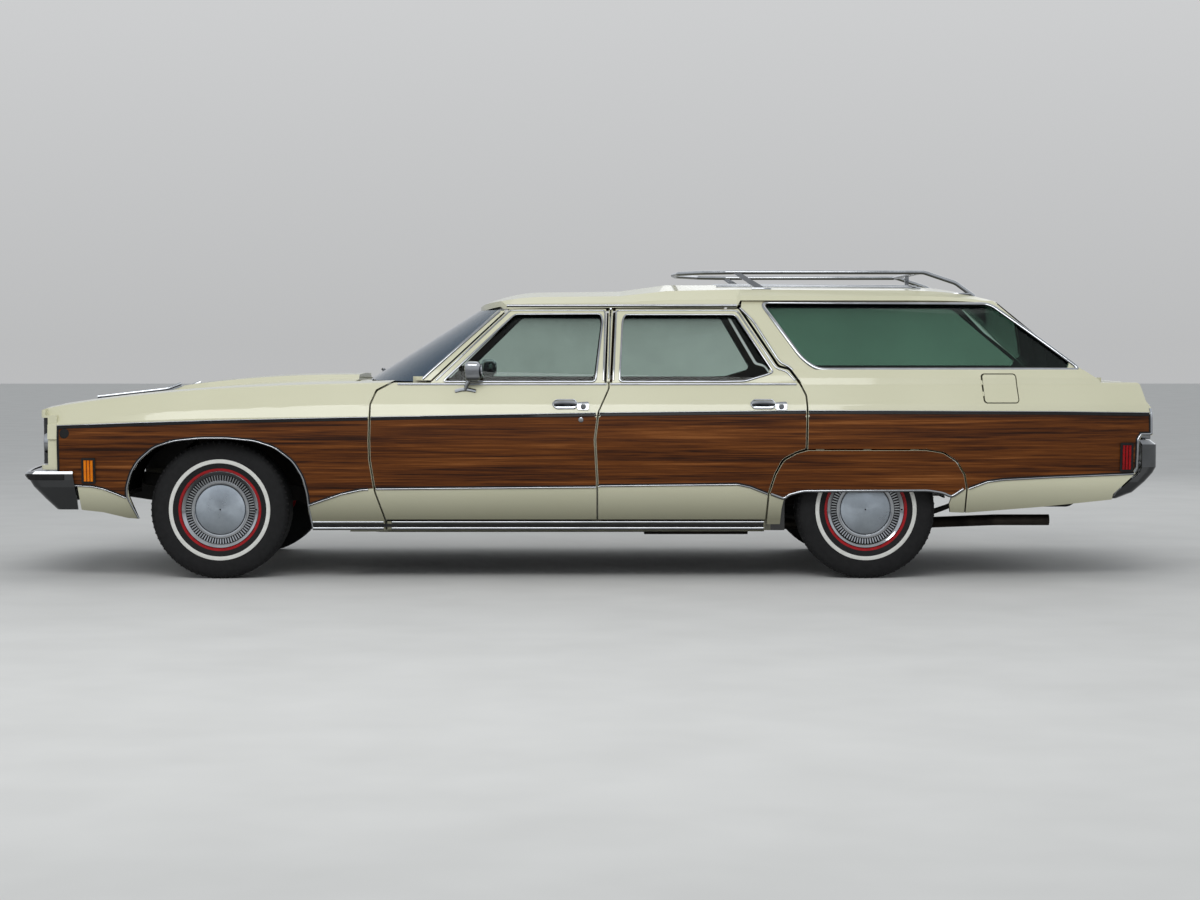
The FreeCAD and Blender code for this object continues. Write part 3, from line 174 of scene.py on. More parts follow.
def wood_mat(name):
    """Printed walnut grain that runs along the car."""
    m = Mat(name)
    broad = m.noise(1.0, 3.0, 0.55, (0.45, 3.0, 13.0), 0.5)
    bands = m.noise(1.0, 5.0, 0.62, (0.75, 8.0, 40.0), 0.6)
    fine = m.noise(1.0, 5.0, 0.7, (2.0, 20.0, 98.0), 0.25)
    pores = m.noise(1.0, 3.0, 0.5, (7.0, 70.0, 430.0), 0.1)
    grain = m.math("ADD", m.math("MULTIPLY", bands, 0.42), m.math("MULTIPLY", fine, 0.38))
    grain = m.math("ADD", grain, m.math("MULTIPLY", broad, 0.20))
    browns = (
        (0.41, (38, 15, 2)), (0.455, (66, 31, 6)), (0.49, (86, 44, 10)),
        (0.53, (98, 52, 14)), (0.57, (118, 67, 25)), (0.61, (138, 84, 40)),
    )
    m.set(Base_Color=m.ramp(grain, [(at, lin(*col)) for at, col in browns]))
    m.set(Roughness=m.span(fine, 0.38, 0.50), Specular_IOR_Level=0.16)
    m.bump(pores, 0.06, 0.0003)
    return m.mat


def chrome_mat(name, base=(200, 203, 207), rough=0.07, pit=0.06, under=0.40, turn_from=-0.40, turn_to=0.20):
    """Plated metal with a painted reflection of a dark road: its faces turned down are darker."""
    m = Mat(name)
    smudge = m.noise(9, 5, 0.65)
    col = m.ramp(smudge, [(0.3, lin(*[c * 0.86 for c in base])), (0.7, lin(*base))])
    # Painted reflection of a dark road: faces turned down take the colour times under, blending to the full
    # colour as they turn up
    up = m.span(m.split("Normal")["Z"], 0.0, 1.0, turn_from, turn_to)
    m.set(Base_Color=m.mix(up, lin(*[c * under for c in base]), col), Metallic=1.0)
    m.set(Roughness=m.span(smudge, rough * 0.6, rough + pit))
    return m.mat


def brushed_mat(name, base, rough, pit):
    """Metal brushed in circles round the wheel's axle."""
    # The disc takes chrome_mat's painted dark-road reflection too
    m = chrome_mat(name, base, rough, pit)
    tangent = m.node_tree.nodes.new("ShaderNodeTangent")
    tangent.direction_type = "RADIAL"
    tangent.axis = "Y"
    shader = m.node_tree.nodes["Principled BSDF"]
    shader.inputs["Anisotropic"].default_value = 0.85
    m.node_tree.links.new(tangent.outputs["Tangent"], shader.inputs["Tangent"])
    return m


def plain_mat(name, a, b, rough=0.5, scale=30, bump=0.15, dist=0.0006, metallic=0.0, sheen=0.0, shine=0.25):
    """Two shades in a fine pattern with a little relief."""
    m = Mat(name)
    n = m.noise(scale, 5, 0.6)
    m.set(Base_Color=m.ramp(n, [(0.35, lin(*a)), (0.65, lin(*b))]))
    m.set(Roughness=m.span(n, rough * 0.85, min(1.0, rough * 1.15)))
    m.bump(m.noise(scale * 12, 3), bump, dist)
    m.set(Metallic=metallic, Specular_IOR_Level=shine)
    if sheen:
        m.set(Sheen_Weight=sheen)
    return m.mat


def glass_mat(name, tint, clearness, body=(10, 16, 18)):
    """Thin tinted pane: part see-through, part mirror."""
    m = Mat(name)
    haze = m.ramp(m.noise(3.0, 3), [(0.3, (*[c * 0.94 for c in tint], 1.0)), (0.7, (*tint, 1.0))])
    clear = m.new("BsdfTransparent", Color=haze)
    m.set(Base_Color=lin(*body), Roughness=0.02, Specular_IOR_Level=0.9, Coat_Weight=1.0, Coat_Roughness=0.01)
    mirror = m.span(m.new("LayerWeight", Blend=0.35).outputs["Fresnel"], 1.0 - clearness, 1.0)
    both = m.mix_shader(mirror, clear.outputs["BSDF"], m.bsdf.outputs["BSDF"])
    m.feed(m.nt.nodes["Material Output"].inputs["Surface"], both)
    return m.mat


PAINT = ((213, 211, 183), (208, 206, 177))
# Painted shade for the lower sides of body and doors, the dark the cream is given low down
LOW_SIDE_PAINTED_SHADE = (98, 96, 74)
CREAM = paint_mat("cream_paint", *PAINT)
BODY_CREAM = paint_mat("cream_body", *PAINT, inner=(26, 24, 22), film=LOW_SIDE_PAINTED_SHADE)
DOOR_CREAM = paint_mat("cream_door", *PAINT, inner=(92, 60, 38), film=LOW_SIDE_PAINTED_SHADE)
ROOF_CREAM = paint_mat("cream_roof", *PAINT, inner=(150, 132, 108), kind="down")
FLOOR_PAN = paint_mat("carpeted_pan", (84, 56, 38), (62, 40, 26), 0.95, 0.0, (20, 20, 20), "down")
WOOD = wood_mat("walnut_film")
CHROME = chrome_mat("bright_chrome")
DULL_CHROME = chrome_mat("worn_chrome", (176, 180, 184), 0.16, 0.1)
# The bumper's painted dark-road reflection reaches further up, to faces that turn up by 0.75
BUMPER = chrome_mat("bumper_chrome", (198, 200, 203), 0.07, 0.06, 0.36, -0.25, 0.75)
MIRROR = chrome_mat("mirror_silver", (225, 228, 230), 0.02, 0.01)
BRUSHED = brushed_mat("brushed_disc", (204, 214, 224), 0.30, 0.12)
BLACK_TRIM = plain_mat("black_trim", (18, 18, 20), (26, 26, 28), 0.35)
BLACK_RUBBER = plain_mat("black_rubber", (20, 20, 20), (30, 30, 30), 0.62)
FRAME_BLACK = plain_mat("frame_black", (22, 22, 22), (38, 35, 32), 0.7, 12)
HOUSING_BLACK = plain_mat("housing_black", (8, 8, 8), (15, 14, 13), 1.0, 16, shine=0.0)
IRON = plain_mat("dark_iron", (40, 38, 36), (62, 56, 50), 0.65, 15, 0.3, 0.001, 0.6)
STEEL = plain_mat("exhaust_steel", (46, 42, 38), (68, 62, 55), 0.55, 10, 0.2, 0.0008, 0.7)
ARGENT = plain_mat("dark_argent", (58, 59, 62), (74, 75, 78), 0.42, 25, 0.1, 0.0003, 0.5)
TYRE = plain_mat("tyre_rubber", (21, 21, 22), (30, 30, 31), 0.72, 40, 0.25, 0.0008)
WHITEWALL = plain_mat("white_rubber", (208, 208, 202), (222, 222, 217), 0.5, 25, 0.1, 0.0004)
RED_RIM = plain_mat("red_rim_paint", (142, 14, 20), (164, 22, 28), 0.3, 25, 0.03, 0.0003)
BROWN_VINYL = plain_mat("brown_vinyl", (92, 58, 36), (112, 72, 46), 0.45, 22, 0.35, 0.0009)
BROWN_CLOTH = plain_mat("brown_cloth", (84, 54, 35), (104, 68, 45), 0.85, 60, 0.5, 0.001, 0.0, 0.4)
DASH = plain_mat("dash_vinyl", (66, 42, 28), (80, 52, 36), 0.5, 30, 0.35, 0.0008)
HEADLINER = plain_mat("headliner", (150, 132, 108), (164, 146, 122), 0.9, 60, 0.4, 0.001)
LAMP_RED = plain_mat("red_lens", (110, 0, 5), (150, 3, 9), 0.15, 20, 0.02, 0.0002)
LAMP_AMBER = plain_mat("amber_lens", (214, 112, 2), (234, 136, 8), 0.15, 20, 0.02, 0.0002)
PLATE = plain_mat("blank_plate", (214, 214, 208), (222, 222, 216), 0.4, 20, 0.02, 0.0002)
GLASS = glass_mat("tinted_glass", (0.91, 0.97, 0.94), 0.95)
# The quarter and tailgate glass have a deeper tint than the door glass: painted shade, for the darker
# reflections at the back
REAR_GLASS = glass_mat("rear_glass", (0.70, 0.86, 0.78), 0.86)
# The screen's blue body colour (48, 88, 116) is a painted reflection of blue sky on the glass
SCREEN = glass_mat("screen_glass", (0.70, 0.87, 0.94), 0.84, (48, 88, 116))
LAMP_GLASS = glass_mat("lamp_glass", (0.9, 0.92, 0.92), 0.8)

# The record's slot that goes with a material, unless a piece names another.
SLOT_OF = {
    CHROME.name: "chrome", DULL_CHROME.name: "chrome", WOOD.name: "trim_brown",
    BROWN_VINYL.name: "trim_brown", BROWN_CLOTH.name: "trim_brown", HEADLINER.name: "trim_brown",
    DASH.name: "dash_brown", TYRE.name: "tyre", WHITEWALL.name: "tyre", RED_RIM.name: "wheel_metal",
    BRUSHED.name: "wheel_metal", IRON.name: "iron", LAMP_RED.name: "lamp_red", LAMP_GLASS.name: "lamp_clear",
}
NODE_MATERIALS = (
    (CREAM, "hood cowl nose tailgate tail_bar fuel_door"),
    (BODY_CREAM, "fender_left fender_right body_left body_right skirt_left skirt_right"),
    (DOOR_CREAM, "door_front_left door_front_right door_rear_left door_rear_right"),
    (ROOF_CREAM, "roof"),
    (CHROME, "grille roof_rack mirror_left mirror_right"),
    (BUMPER, "bumper_front bumper_rear"),
    (ARGENT, "headlamps"),
    (LAMP_RED, "tail_lamps"),
    (FRAME_BLACK, "chassis radiator gate_well"),
    (IRON, "engine driveline knuckle_left knuckle_right"),
    (STEEL, "exhaust"),
    (FLOOR_PAN, "floor"),
    (DASH, "dashboard steering_wheel"),
    (GLASS, "glass_front_left glass_front_right glass_rear_left glass_rear_right"),
    (REAR_GLASS, "quarter_glass tailgate_glass"),
    (SCREEN, "windshield"),
    (BROWN_CLOTH, "seat_front seat_middle"),
)
for mat, names in NODE_MATERIALS:
    for node in [nodes[name] for name in names.split()]:
        for slot in node.material_slots:
            slot.link = "OBJECT"
            slot.material = mat
        if not node.material_slots:
            node.data.materials.append(mat)


def studio_floor(half=60.0):
    m = Mat("pale_floor")
    m.set(Base_Color=m.ramp(m.noise(2.0, 2), [(0.3, lin(204, 204, 202)), (0.7, lin(210, 210, 208))]))
    m.set(Roughness=0.85, Specular_IOR_Level=0.2)
    mesh = bpy.data.meshes.new("ground")
    corners = [(-half, -half, 0), (half, -half, 0), (half, half, 0), (-half, half, 0)]
    mesh.from_pydata(corners, [], [(0, 1, 2, 3)])
    mesh.materials.append(m.mat)
    ground = bpy.data.objects.new("ground", mesh)
    scene.collection.objects.link(ground)


def studio_sky():
    """Soft light that is strongest above the horizon, with a pale backdrop for the camera alone."""
    world = bpy.data.worlds.new("studio")
    scene.world = world
    world.use_nodes = True
    w = Tree(world.node_tree)
    height = w.span(w.split("Generated")["Z"], 0.0, 1.0, -1.0, 1.0)
    light = [
        (0.0, (0.30, 0.30, 0.30, 1)), (0.49, (0.30, 0.31, 0.32, 1)), (0.53, (0.74, 0.76, 0.79, 1)),
        (0.68, (0.84, 0.88, 0.92, 1)), (1.0, (0.50, 0.51, 0.52, 1)),
    ]
    backdrop = [(0.5, (0.50, 0.505, 0.51, 1)), (0.68, (0.80, 0.81, 0.82, 1))]
    sky = w.nt.nodes["Background"]
    w.feed(sky.inputs["Color"], w.ramp(height, light))
    sky.inputs["Strength"].default_value = 0.83
    seen = w.new("Background", Color=w.ramp(height, backdrop))
    camera_ray = w.new("LightPath").outputs["Is Camera Ray"]
    both = w.mix_shader(camera_ray, sky.outputs["Background"], seen.outputs["Background"])
    w.feed(w.nt.nodes["World Output"].inputs["Surface"], both)


def lamp(name, loc, target, size, power):
    data = bpy.data.lights.new(name, "AREA")
    data.shape = "RECTANGLE"
    data.size, data.size_y = size
    data.energy = power
    o = bpy.data.objects.new(name, data)
    scene.collection.objects.link(o)
    o.location = loc
    o.rotation_euler = (Vector(target) - Vector(loc)).to_track_quat("-Z", "Y").to_euler()


studio_floor()
studio_sky()
lamp("key_lamp", (-1.6, -7.4, 6.2), (0.2, 0, 0.6), (8.0, 3.0), 305)
lamp("top_lamp", (0.5, 1.0, 7.5), (0, 0, 0), (8.0, 4.0), 60)
lamp("back_lamp", (4.0, 7.0, 5.0), (0, 0, 0.8), (9.0, 5.0), 80)

# The camera's turns come from the photo: its focal length and the horizon's place, in its pixels.
FOCAL_PX, HORIZON_UP_PX, AXIS_LEFT_PX = 2471.0, 106.0, 10.0
cam = bpy.data.cameras.new("camera")
cam_obj = bpy.data.objects.new("camera", cam)
scene.collection.objects.link(cam_obj)
cam.sensor_width = 36.0
cam.lens = 74.13
cam_obj.location = (0.007, -13.23, 1.172)
pitch = math.atan(HORIZON_UP_PX / FOCAL_PX)
yaw = math.atan(AXIS_LEFT_PX / FOCAL_PX)
cam_obj.rotation_euler = (math.pi / 2 - pitch, 0.0, -yaw)
scene.camera = cam_obj
scene.view_settings.view_transform = "Standard"


def make(name, verts, faces, mat, body, smooth=True, sharp=None, slot=None):
    """A new piece that rides on a body. Its slot, which is its material's unless another is given, is looked
    up but not kept.
    """
    mesh = bpy.data.meshes.new(name)
    mesh.from_pydata([tuple(v) for v in verts], [], faces)
    mesh.materials.append(mat)
    mesh.validate()
    bm = bmesh.new()
    bm.from_mesh(mesh)
    bmesh.ops.remove_doubles(bm, verts=bm.verts, dist=1e-6)
    bmesh.ops.recalc_face_normals(bm, faces=bm.faces)
    bm.to_mesh(mesh)
    bm.free()
    for p in mesh.polygons:
        p.use_smooth = smooth
    if sharp is not None:
        mesh.set_sharp_from_angle(angle=math.radians(sharp))
    o = bpy.data.objects.new(name, mesh)
    scene.collection.objects.link(o)
    if body:
        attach(o, body)
    slot = SLOT_OF.get(mat.name, "") if slot is None else slot
    return o


def tree_of(*names):
    """One ray tree over the meshes of the named CAD nodes."""
    verts, polys = [], []
    for name in names:
        mesh = nodes[name].data
        base = len(verts)
        verts += [v.co.copy() for v in mesh.vertices]
        polys += [[base + i for i in p.vertices] for p in mesh.polygons]
    return BVHTree.FromPolygons(verts, polys)


def hit_side(tree, x, z, side, inside=False):
    """The outer skin's point and outward normal at x, z, seen from the side, or from inside."""
    start = Vector((x, side * (0.3 if inside else 1.4), z))
    way = Vector((0, side if inside else -side, 0))
    point, normal, _, _ = tree.ray_cast(start, way)
    if point is None:
        point = tree.find_nearest(Vector((x, side * (0.86 if inside else 0.98), z)))[0]
        point = Vector((x, point.y, z))
        normal = -way
    if normal.dot(way) > 0:
        normal = -normal
    return point, normal


def hit_down(tree, x, y):
    """The point and normal that a ray from above meets first."""
    return tree.ray_cast(Vector((x, y, 2.2)), Vector((0, 0, -1)))[:2]


def area2(poly):
    """Area of an outline, negative where it turns clockwise."""
    return 0.5 * sum(poly[i - 1][0] * poly[i][1] - poly[i][0] * poly[i - 1][1] for i in range(len(poly)))


def in_poly(p, poly):
    """Whether a point lies inside an outline."""
    x, z = p
    found = False
    for i in range(len(poly)):
        (x0, z0), (x1, z1) = poly[i - 1], poly[i]
        if (z0 > z) != (z1 > z) and x < (x1 - x0) * (z - z0) / (z1 - z0) + x0:
            found = not found
    return found


def divided(poly, step):
    """A closed outline's points with steps between them."""
    out = []
    for i, b in enumerate(poly):
        a = poly[i - 1]
        n = max(1, int(math.hypot(b[0] - a[0], b[1] - a[1]) / step))
        out += [(a[0] + (b[0] - a[0]) * k / n, a[1] + (b[1] - a[1]) * k / n) for k in range(1, n + 1)]
    return out


def grid_in(polys, step):
    """Points of a square grid over the first outline that lie in all of them."""
    x0, z0 = [min(p[i] for p in polys[0]) for i in (0, 1)]
    x1, z1 = [max(p[i] for p in polys[0]) for i in (0, 1)]
    out = []
    for i in range(int((x1 - x0) / step) + 1):
        for j in range(int((z1 - z0) / step) + 1):
            p = (x0 + (i + 0.5) * step, z0 + (j + 0.5) * step)
            if all(in_poly(p, poly) for poly in polys):
                out.append(p)
    return out


def flat_triangles(inside_of, outside_of, step):
    """Points and triangles that fill the area that the outlines share, less the ones outside."""
    polys = [p if area2(p) >= 0 else list(reversed(p)) for p in (*inside_of, *outside_of)]
    flat, loops = [], []
    for poly in polys:
        dense = divided(poly, step)
        loops.append(list(range(len(flat), len(flat) + len(dense))))
        flat += dense
    n_in = len(inside_of)
    flat += grid_in(polys[:n_in], step)
    points, _, tris, _, _, origin = delaunay_2d_cdt([Vector(p) for p in flat], [], loops, 0, 1e-6)
    keep = []
    for t, o in zip(tris, origin):
        if all(k in o for k in range(n_in)) and not any(k >= n_in for k in o):
            keep.append(t)
    used = sorted({i for t in keep for i in t})
    number = {old: new for new, old in enumerate(used)}
    return [points[i] for i in used], [[number[i] for i in t] for t in keep]


def patch(name, body, tree, side, inside_of, mat, outside_of=(), step=0.02, proud=0.001, depth=0.002,
          inner=False):
    """A thin sheet laid on the skin over the area that all the outlines share."""
    flat, tris = flat_triangles(inside_of, outside_of, step)
    verts = []
    for x, z in flat:
        p, n = hit_side(tree, x, z, side, inner)
        verts.append(p + n * proud)
    count = {}
    for t in tris:
        for k in range(3):
            edge = frozenset((t[k - 1], t[k]))
            count[edge] = count.get(edge, 0) + 1
    into = Vector((0, side if inner else -side, 0)) * (proud + depth)
    back, quads = {}, []
    for a, b in [tuple(edge) for edge in count if count[edge] == 1]:
        for i in (a, b):
            if i not in back:
                back[i] = len(verts)
                verts.append(verts[i] + into)
        quads.append([a, b, back[b], back[a]])
    return make(name, verts, tris + quads, mat, body, True, 40)


def resample(points, step):
    """The same line with points between its own, about a step apart."""
    out = [points[0]]
    for a, b in zip(points, points[1:]):
        n = max(1, int(round((b - a).length / step)))
        out += [a + (b - a) * (k / n) for k in range(1, n + 1)]
    return out


def rounded(points, radius, closed=False, steps=5):
    """The same line with its corners rounded."""
    pts = [Vector(p) for p in points]
    out = []
    count = len(pts)
    for i, p in enumerate(pts):
        if not radius or not closed and i in (0, count - 1):
            out.append(p)
            continue
        a, b = pts[i - 1] - p, pts[(i + 1) % count] - p
        r = min(radius, a.length * 0.45, b.length * 0.45)
        s, e = p + a.normalized() * r, p + b.normalized() * r
        for k in range(steps + 1):
            t = k / steps
            out.append((1 - t) ** 2 * s + 2 * t * (1 - t) * p + t * t * e)
    return out


def evened(points, radius, closed, step):
    """Even steps along a line of x, z points whose corners are rounded."""
    pts = rounded([(x, 0.0, z) for x, z in points], radius, closed)
    return resample(pts + [pts[0]], step)[:-1] if closed else resample(pts, step)


def sweep(name, path, ups, section, mat, body, closed=False, sharp=35):
    """A section (across, up) carried along a path whose up directions are given."""
    verts, faces = [], []
    count, n = len(path), len(section)
    for i, p in enumerate(path):
        if closed:
            t = path[(i + 1) % count] - path[i - 1]
        else:
            t = path[min(i + 1, count - 1)] - path[max(i - 1, 0)]
        t.normalize()
        across = t.cross(ups[i]).normalized()
        up = across.cross(t).normalized()
        verts += [p + across * a + up * b for a, b in section]
    for i in range(count if closed else count - 1):
        j = (i + 1) % count
        for k in range(n):
            m = (k + 1) % n
            faces.append([i * n + k, i * n + m, j * n + m, j * n + k])
    if not closed:
        faces.append(list(range(n)))
        faces.append([(count - 1) * n + k for k in reversed(range(n))])
    return make(name, verts, faces, mat, body, True, sharp)


def sweep_on(name, found, section, mat, body):
    """A section carried along points found with their normals."""
    return sweep(name, [p for p, n in found], [n for p, n in found], section, mat, body)


def bead(width, height, sink=0.003):
    """Half-round moulding section."""
    w = width / 2
    pts = [(-w, -sink), (-w, height * 0.25)]
    for turn in [math.pi * k / 8 for k in range(1, 8)]:
        pts.append((-w * math.cos(turn), height * (0.25 + 0.75 * math.sin(turn))))
    return pts + [(w, height * 0.25), (w, -sink)]


def flat_bar(width, height, sink=0.003, soft=0.001):
    """Flat moulding section with small chamfers."""
    w = width / 2
    left = [(-w, -sink), (-w, height - soft), (-w + soft, height)]
    return left + [(-a, b) for a, b in reversed(left)]


def circle(r, sides):
    turns = [2 * math.pi * k / sides for k in range(sides)]
    return [(r * math.cos(turn), r * math.sin(turn)) for turn in turns]


def tube(name, points, r, mat, body, sides=12, radius=0.0):
    """A round bar of radius r along points, whose corners take the other radius."""
    pts = rounded(points, radius)
    up = Vector((0, 0, 1))
    ups = []
    for i in range(len(pts)):
        t = (pts[min(i + 1, len(pts) - 1)] - pts[max(i - 1, 0)]).normalized()
        if abs(t.dot(up)) > 0.9:
            up = Vector((0, 1, 0)) if abs(t.y) < 0.9 else Vector((1, 0, 0))
        up = (up - t * up.dot(t)).normalized()
        ups.append(up.copy())
    return sweep(name, pts, ups, circle(r, sides), mat, body, False, 50)


def soften(o, width, segments=2, angle=30):
    """Rounds the edges that are sharper than an angle."""
    bm = bmesh.new()
    bm.from_mesh(o.data)
    edges = [e for e in bm.edges if len(e.link_faces) == 2 and e.calc_face_angle(0) > math.radians(angle)]
    bmesh.ops.bevel(
        bm, geom=edges, offset=width, segments=segments, profile=0.5, affect="EDGES", clamp_overlap=True
    )
    bm.to_mesh(o.data)
    bm.free()
    for p in o.data.polygons:
        p.use_smooth = True
    o.data.set_sharp_from_angle(angle=math.radians(40))


def block(name, lo, hi, mat, body, bevel=0.002, segments=2):
    """A box between two corners, in any order, with rounded edges."""
    spans = [sorted(pair) for pair in zip(lo, hi)]
    verts = [(x, y, z) for x in spans[0] for y in spans[1] for z in spans[2]]
    faces = [[0, 1, 3, 2], [4, 6, 7, 5], [0, 4, 5, 1], [2, 3, 7, 6], [0, 2, 6, 4], [1, 5, 7, 3]]
    o = make(name, verts, faces, mat, body)
    soften(o, bevel, segments)
    return o


def extrude(name, outline_xz, y0, y1, mat, body, bevel=0.0, slot=None):
    """An outline of x, z points pushed along y."""
    n = len(outline_xz)
    verts = [(x, y, z) for y in (y0, y1) for x, z in outline_xz]
    faces = [list(range(n)), list(reversed(range(n, 2 * n)))]
    faces += [[i, (i + 1) % n, n + (i + 1) % n, n + i] for i in range(n)]
    o = make(name, verts, faces, mat, body, bevel > 0, 40, slot)
    if bevel:
        soften(o, bevel)
    return o


def lathe(name, profile, centre, mat, body, side, steps=96, axis="y", sharp=35, slot=None):
    """A closed profile (radius, outward distance) turned about y, a wheel's axle, or about x."""
    verts, faces = [], []
    n = len(profile)
    cx, cy, cz = centre
    for i in range(steps):
        a = 2 * math.pi * i / steps
        j = (i + 1) % steps
        for r, d in profile:
            if axis == "y":
                verts.append((cx + r * math.cos(a), cy + side * d, cz + r * math.sin(a)))
            else:
                verts.append((cx + side * d, cy + r * math.cos(a), cz + r * math.sin(a)))
        for k in range(n):
            m = (k + 1) % n
            faces.append([i * n + k, i * n + m, j * n + m, j * n + k])
    return make(name, verts, faces, mat, body, True, sharp, slot)


def front_lathe(name, profile, y, z, mat, body, steps, slot=None):
    """A profile (radius, distance ahead of the frame's zero) turned about a line along x."""
    return lathe(name, profile, (0, y, z), mat, body, -1, steps, "x", 35, slot)


def teeth(name, corners, half, count, centre, mat, body, sides, slot=None):
    """Small blocks that stand round an axle, each over four corners (radius, outward distance)."""
    verts, faces = [], []
    cx, cy, cz = centre
    for turn in [2 * math.pi * k / count for k in range(count)]:
        ca, sa = math.cos(turn), math.sin(turn)
        for side in sides:
            b = len(verts)
            for r, d in corners:
                verts += [(cx + r * ca - w * sa, cy + side * d, cz + r * sa + w * ca) for w in (-half, half)]
            faces += [[b, b + 2, b + 4, b + 6], [b + 1, b + 7, b + 5, b + 3], [b, b + 1, b + 3, b + 2]]
            faces += [[b + 2, b + 3, b + 5, b + 4], [b + 4, b + 5, b + 7, b + 6], [b + 6, b + 7, b + 1, b]]
    return make(name, verts, faces, mat, body, False, None, slot)


def sheet_faces(rows, columns):
    """The quads between the points of a grid that is numbered row by row."""
    corners = [i * columns + j for i in range(rows - 1) for j in range(columns - 1)]
    return [[k, k + 1, k + columns + 1, k + columns] for k in corners]


def outline(rows, steps=6):
    """Points in metres from rows in millimetres: a, b and, where a corner is round, its radius."""
    pts = [Vector((row[0], row[1])) * MM for row in rows]
    out = []
    for i, p in enumerate(pts):
        radius = rows[i][2] * MM if len(rows[i]) > 2 else 0.0
        if radius <= 0.0:
            out.append(tuple(p))
            continue
        a, b = pts[i - 1] - p, pts[(i + 1) % len(pts)] - p
        turn = a.angle(b)
        reach = radius / math.tan(turn / 2)
        s, e = p + a.normalized() * reach, p + b.normalized() * reach
        middle = p + (a.normalized() + b.normalized()).normalized() * (radius / math.sin(turn / 2))
        for k in range(steps + 1):
            q = s.lerp(e, k / steps) - middle
            q = middle + q.normalized() * radius
            out.append((q.x, q.y))
    return out


def shrunk(poly, by):
    """The same outline moved inwards by a small step."""
    if area2(poly) < 0:
        poly = list(reversed(poly))
    out = []
    n = len(poly)
    for i in range(n):
        p = Vector(poly[i])
        a = p - Vector(poly[i - 1])
        b = Vector(poly[(i + 1) % n]) - p
        if a.length < 1e-7 or b.length < 1e-7:
            continue
        na = Vector((-a.y, a.x)).normalized()
        nb = Vector((-b.y, b.x)).normalized()
        way = na + nb
        if way.length < 1e-6:
            continue
        way.normalize()
        q = p + way * (by / max(0.35, way.dot(na)))
        out.append((q.x, q.y))
    return out


def cut_line(line, x0, x1):
    """The stretch of a line of x, z points between two x."""
    out = []
    for (xa, za), (xb, zb) in zip(line, line[1:]):
        lo, hi = max(min(xa, xb), x0), min(max(xa, xb), x1)
        if lo >= hi:
            continue
        for x in (lo, hi) if xa < xb else (hi, lo):
            p = (x, za + (zb - za) * ((x - xa) / (xb - xa)))
            if not out or math.hypot(p[0] - out[-1][0], p[1] - out[-1][1]) > 1e-5:
                out.append(p)
    return out


def raised(line, by):
    return [(x, z + by) for x, z in line]


def arc_through(rows):
    """Circle through three (y, z) points in millimetres: its centre and radius in metres."""
    (x1, y1), (x2, y2), (x3, y3) = rows
    d = 2 * (x1 * (y2 - y3) + x2 * (y3 - y1) + x3 * (y1 - y2))
    s1, s2, s3 = x1 ** 2 + y1 ** 2, x2 ** 2 + y2 ** 2, x3 ** 2 + y3 ** 2
    cx = (s1 * (y2 - y3) + s2 * (y3 - y1) + s3 * (y1 - y2)) / d
    cy = (s1 * (x3 - x2) + s2 * (x1 - x3) + s3 * (x2 - x1)) / d
    return cx * MM, cy * MM, math.hypot(x1 - cx, y1 - cy) * MM


# The side glass curve: centre, radius, where its narrowing starts and ends, and the narrowing.
DOOR_CURVE = (*arc_through(((902, 975), (806, 1170), (668, 1352))), 0.0, 1.0, 1.0)
REAR_CURVE = (*arc_through(((902, 975), (800, 1190), (650, 1398))), 0.740, 2.580, 0.955)


def on_glass(x, z, side, curve):
    """The side glass curve's point and outward normal at x, z."""
    cy, cz, r, x0, x1, narrowing = curve
    k = 1.0 + (narrowing - 1.0) * min(1.0, max(0.0, (x - x0) / (x1 - x0)))
    y = cy + math.sqrt(r * r - (z - cz) ** 2)
    return Vector((x, side * y * k, z)), Vector((0, side * (y - cy), z - cz)).normalized()


class Flank:
    """One side of the car. What is laid on it takes its name and its direction."""

    def __init__(self, name, side):
        self.name = "_" + name
        self.side = side
        self.doors = {"front": "door_front" + self.name, "rear": "door_rear" + self.name}
        self.skin = self.tree("fender", "door_front", "door_rear", "body", "skirt")

    def tree(self, *names):
        return tree_of(*[name + self.name for name in names])

    def hit(self, x, z):
        return hit_side(self.skin, x, z, self.side)

    def moulding(self, name, points, section, mat=CHROME, body="car_body", tree=None, radius=0.0,
                 closed=False, lift=0.0, axle=None, step=0.03):
        """A moulding that follows a line of x, z points on the skin, or on its edge round an axle."""
        tree = tree or self.skin
        path, ups = [], []
        for p in evened(points, radius, closed, step):
            q, n = hit_side(tree, p.x, p.z, self.side)
            for reach in (0.006, 0.012, 0.020, 0.030, 0.045) if axle else ():
                out = Vector((p.x - axle[0], p.z - axle[1])).normalized() * reach
                q, n = hit_side(tree, p.x + out.x, p.z + out.y, self.side)
                if abs(q.y) > 0.93 and n.y * self.side > 0.6:
                    break
            path.append(Vector((p.x, q.y, p.z)) + n * lift)
            ups.append(n)
        return sweep(name + self.name, path, ups, section, mat, body, closed)

    def glass_trim(self, name, points, section, body, curve, radius=0.0, closed=False):
        """A bright strip that follows the side glass curve."""
        found = [on_glass(p.x, p.z, self.side, curve) for p in evened(points, radius, closed, 0.03)]
        ups = [n for q, n in found]
        return sweep(name + self.name, [q for q, n in found], ups, section, CHROME, body, closed)

    def patch(self, name, body, outlines, mat, tree=None, **more):
        return patch(name + self.name, body, tree or self.skin, self.side, outlines, mat, **more)

    def lathe(self, name, profile, centre, mat, body, steps=96, **more):
        return lathe(name + self.name, profile, centre, mat, body, self.side, steps, **more)


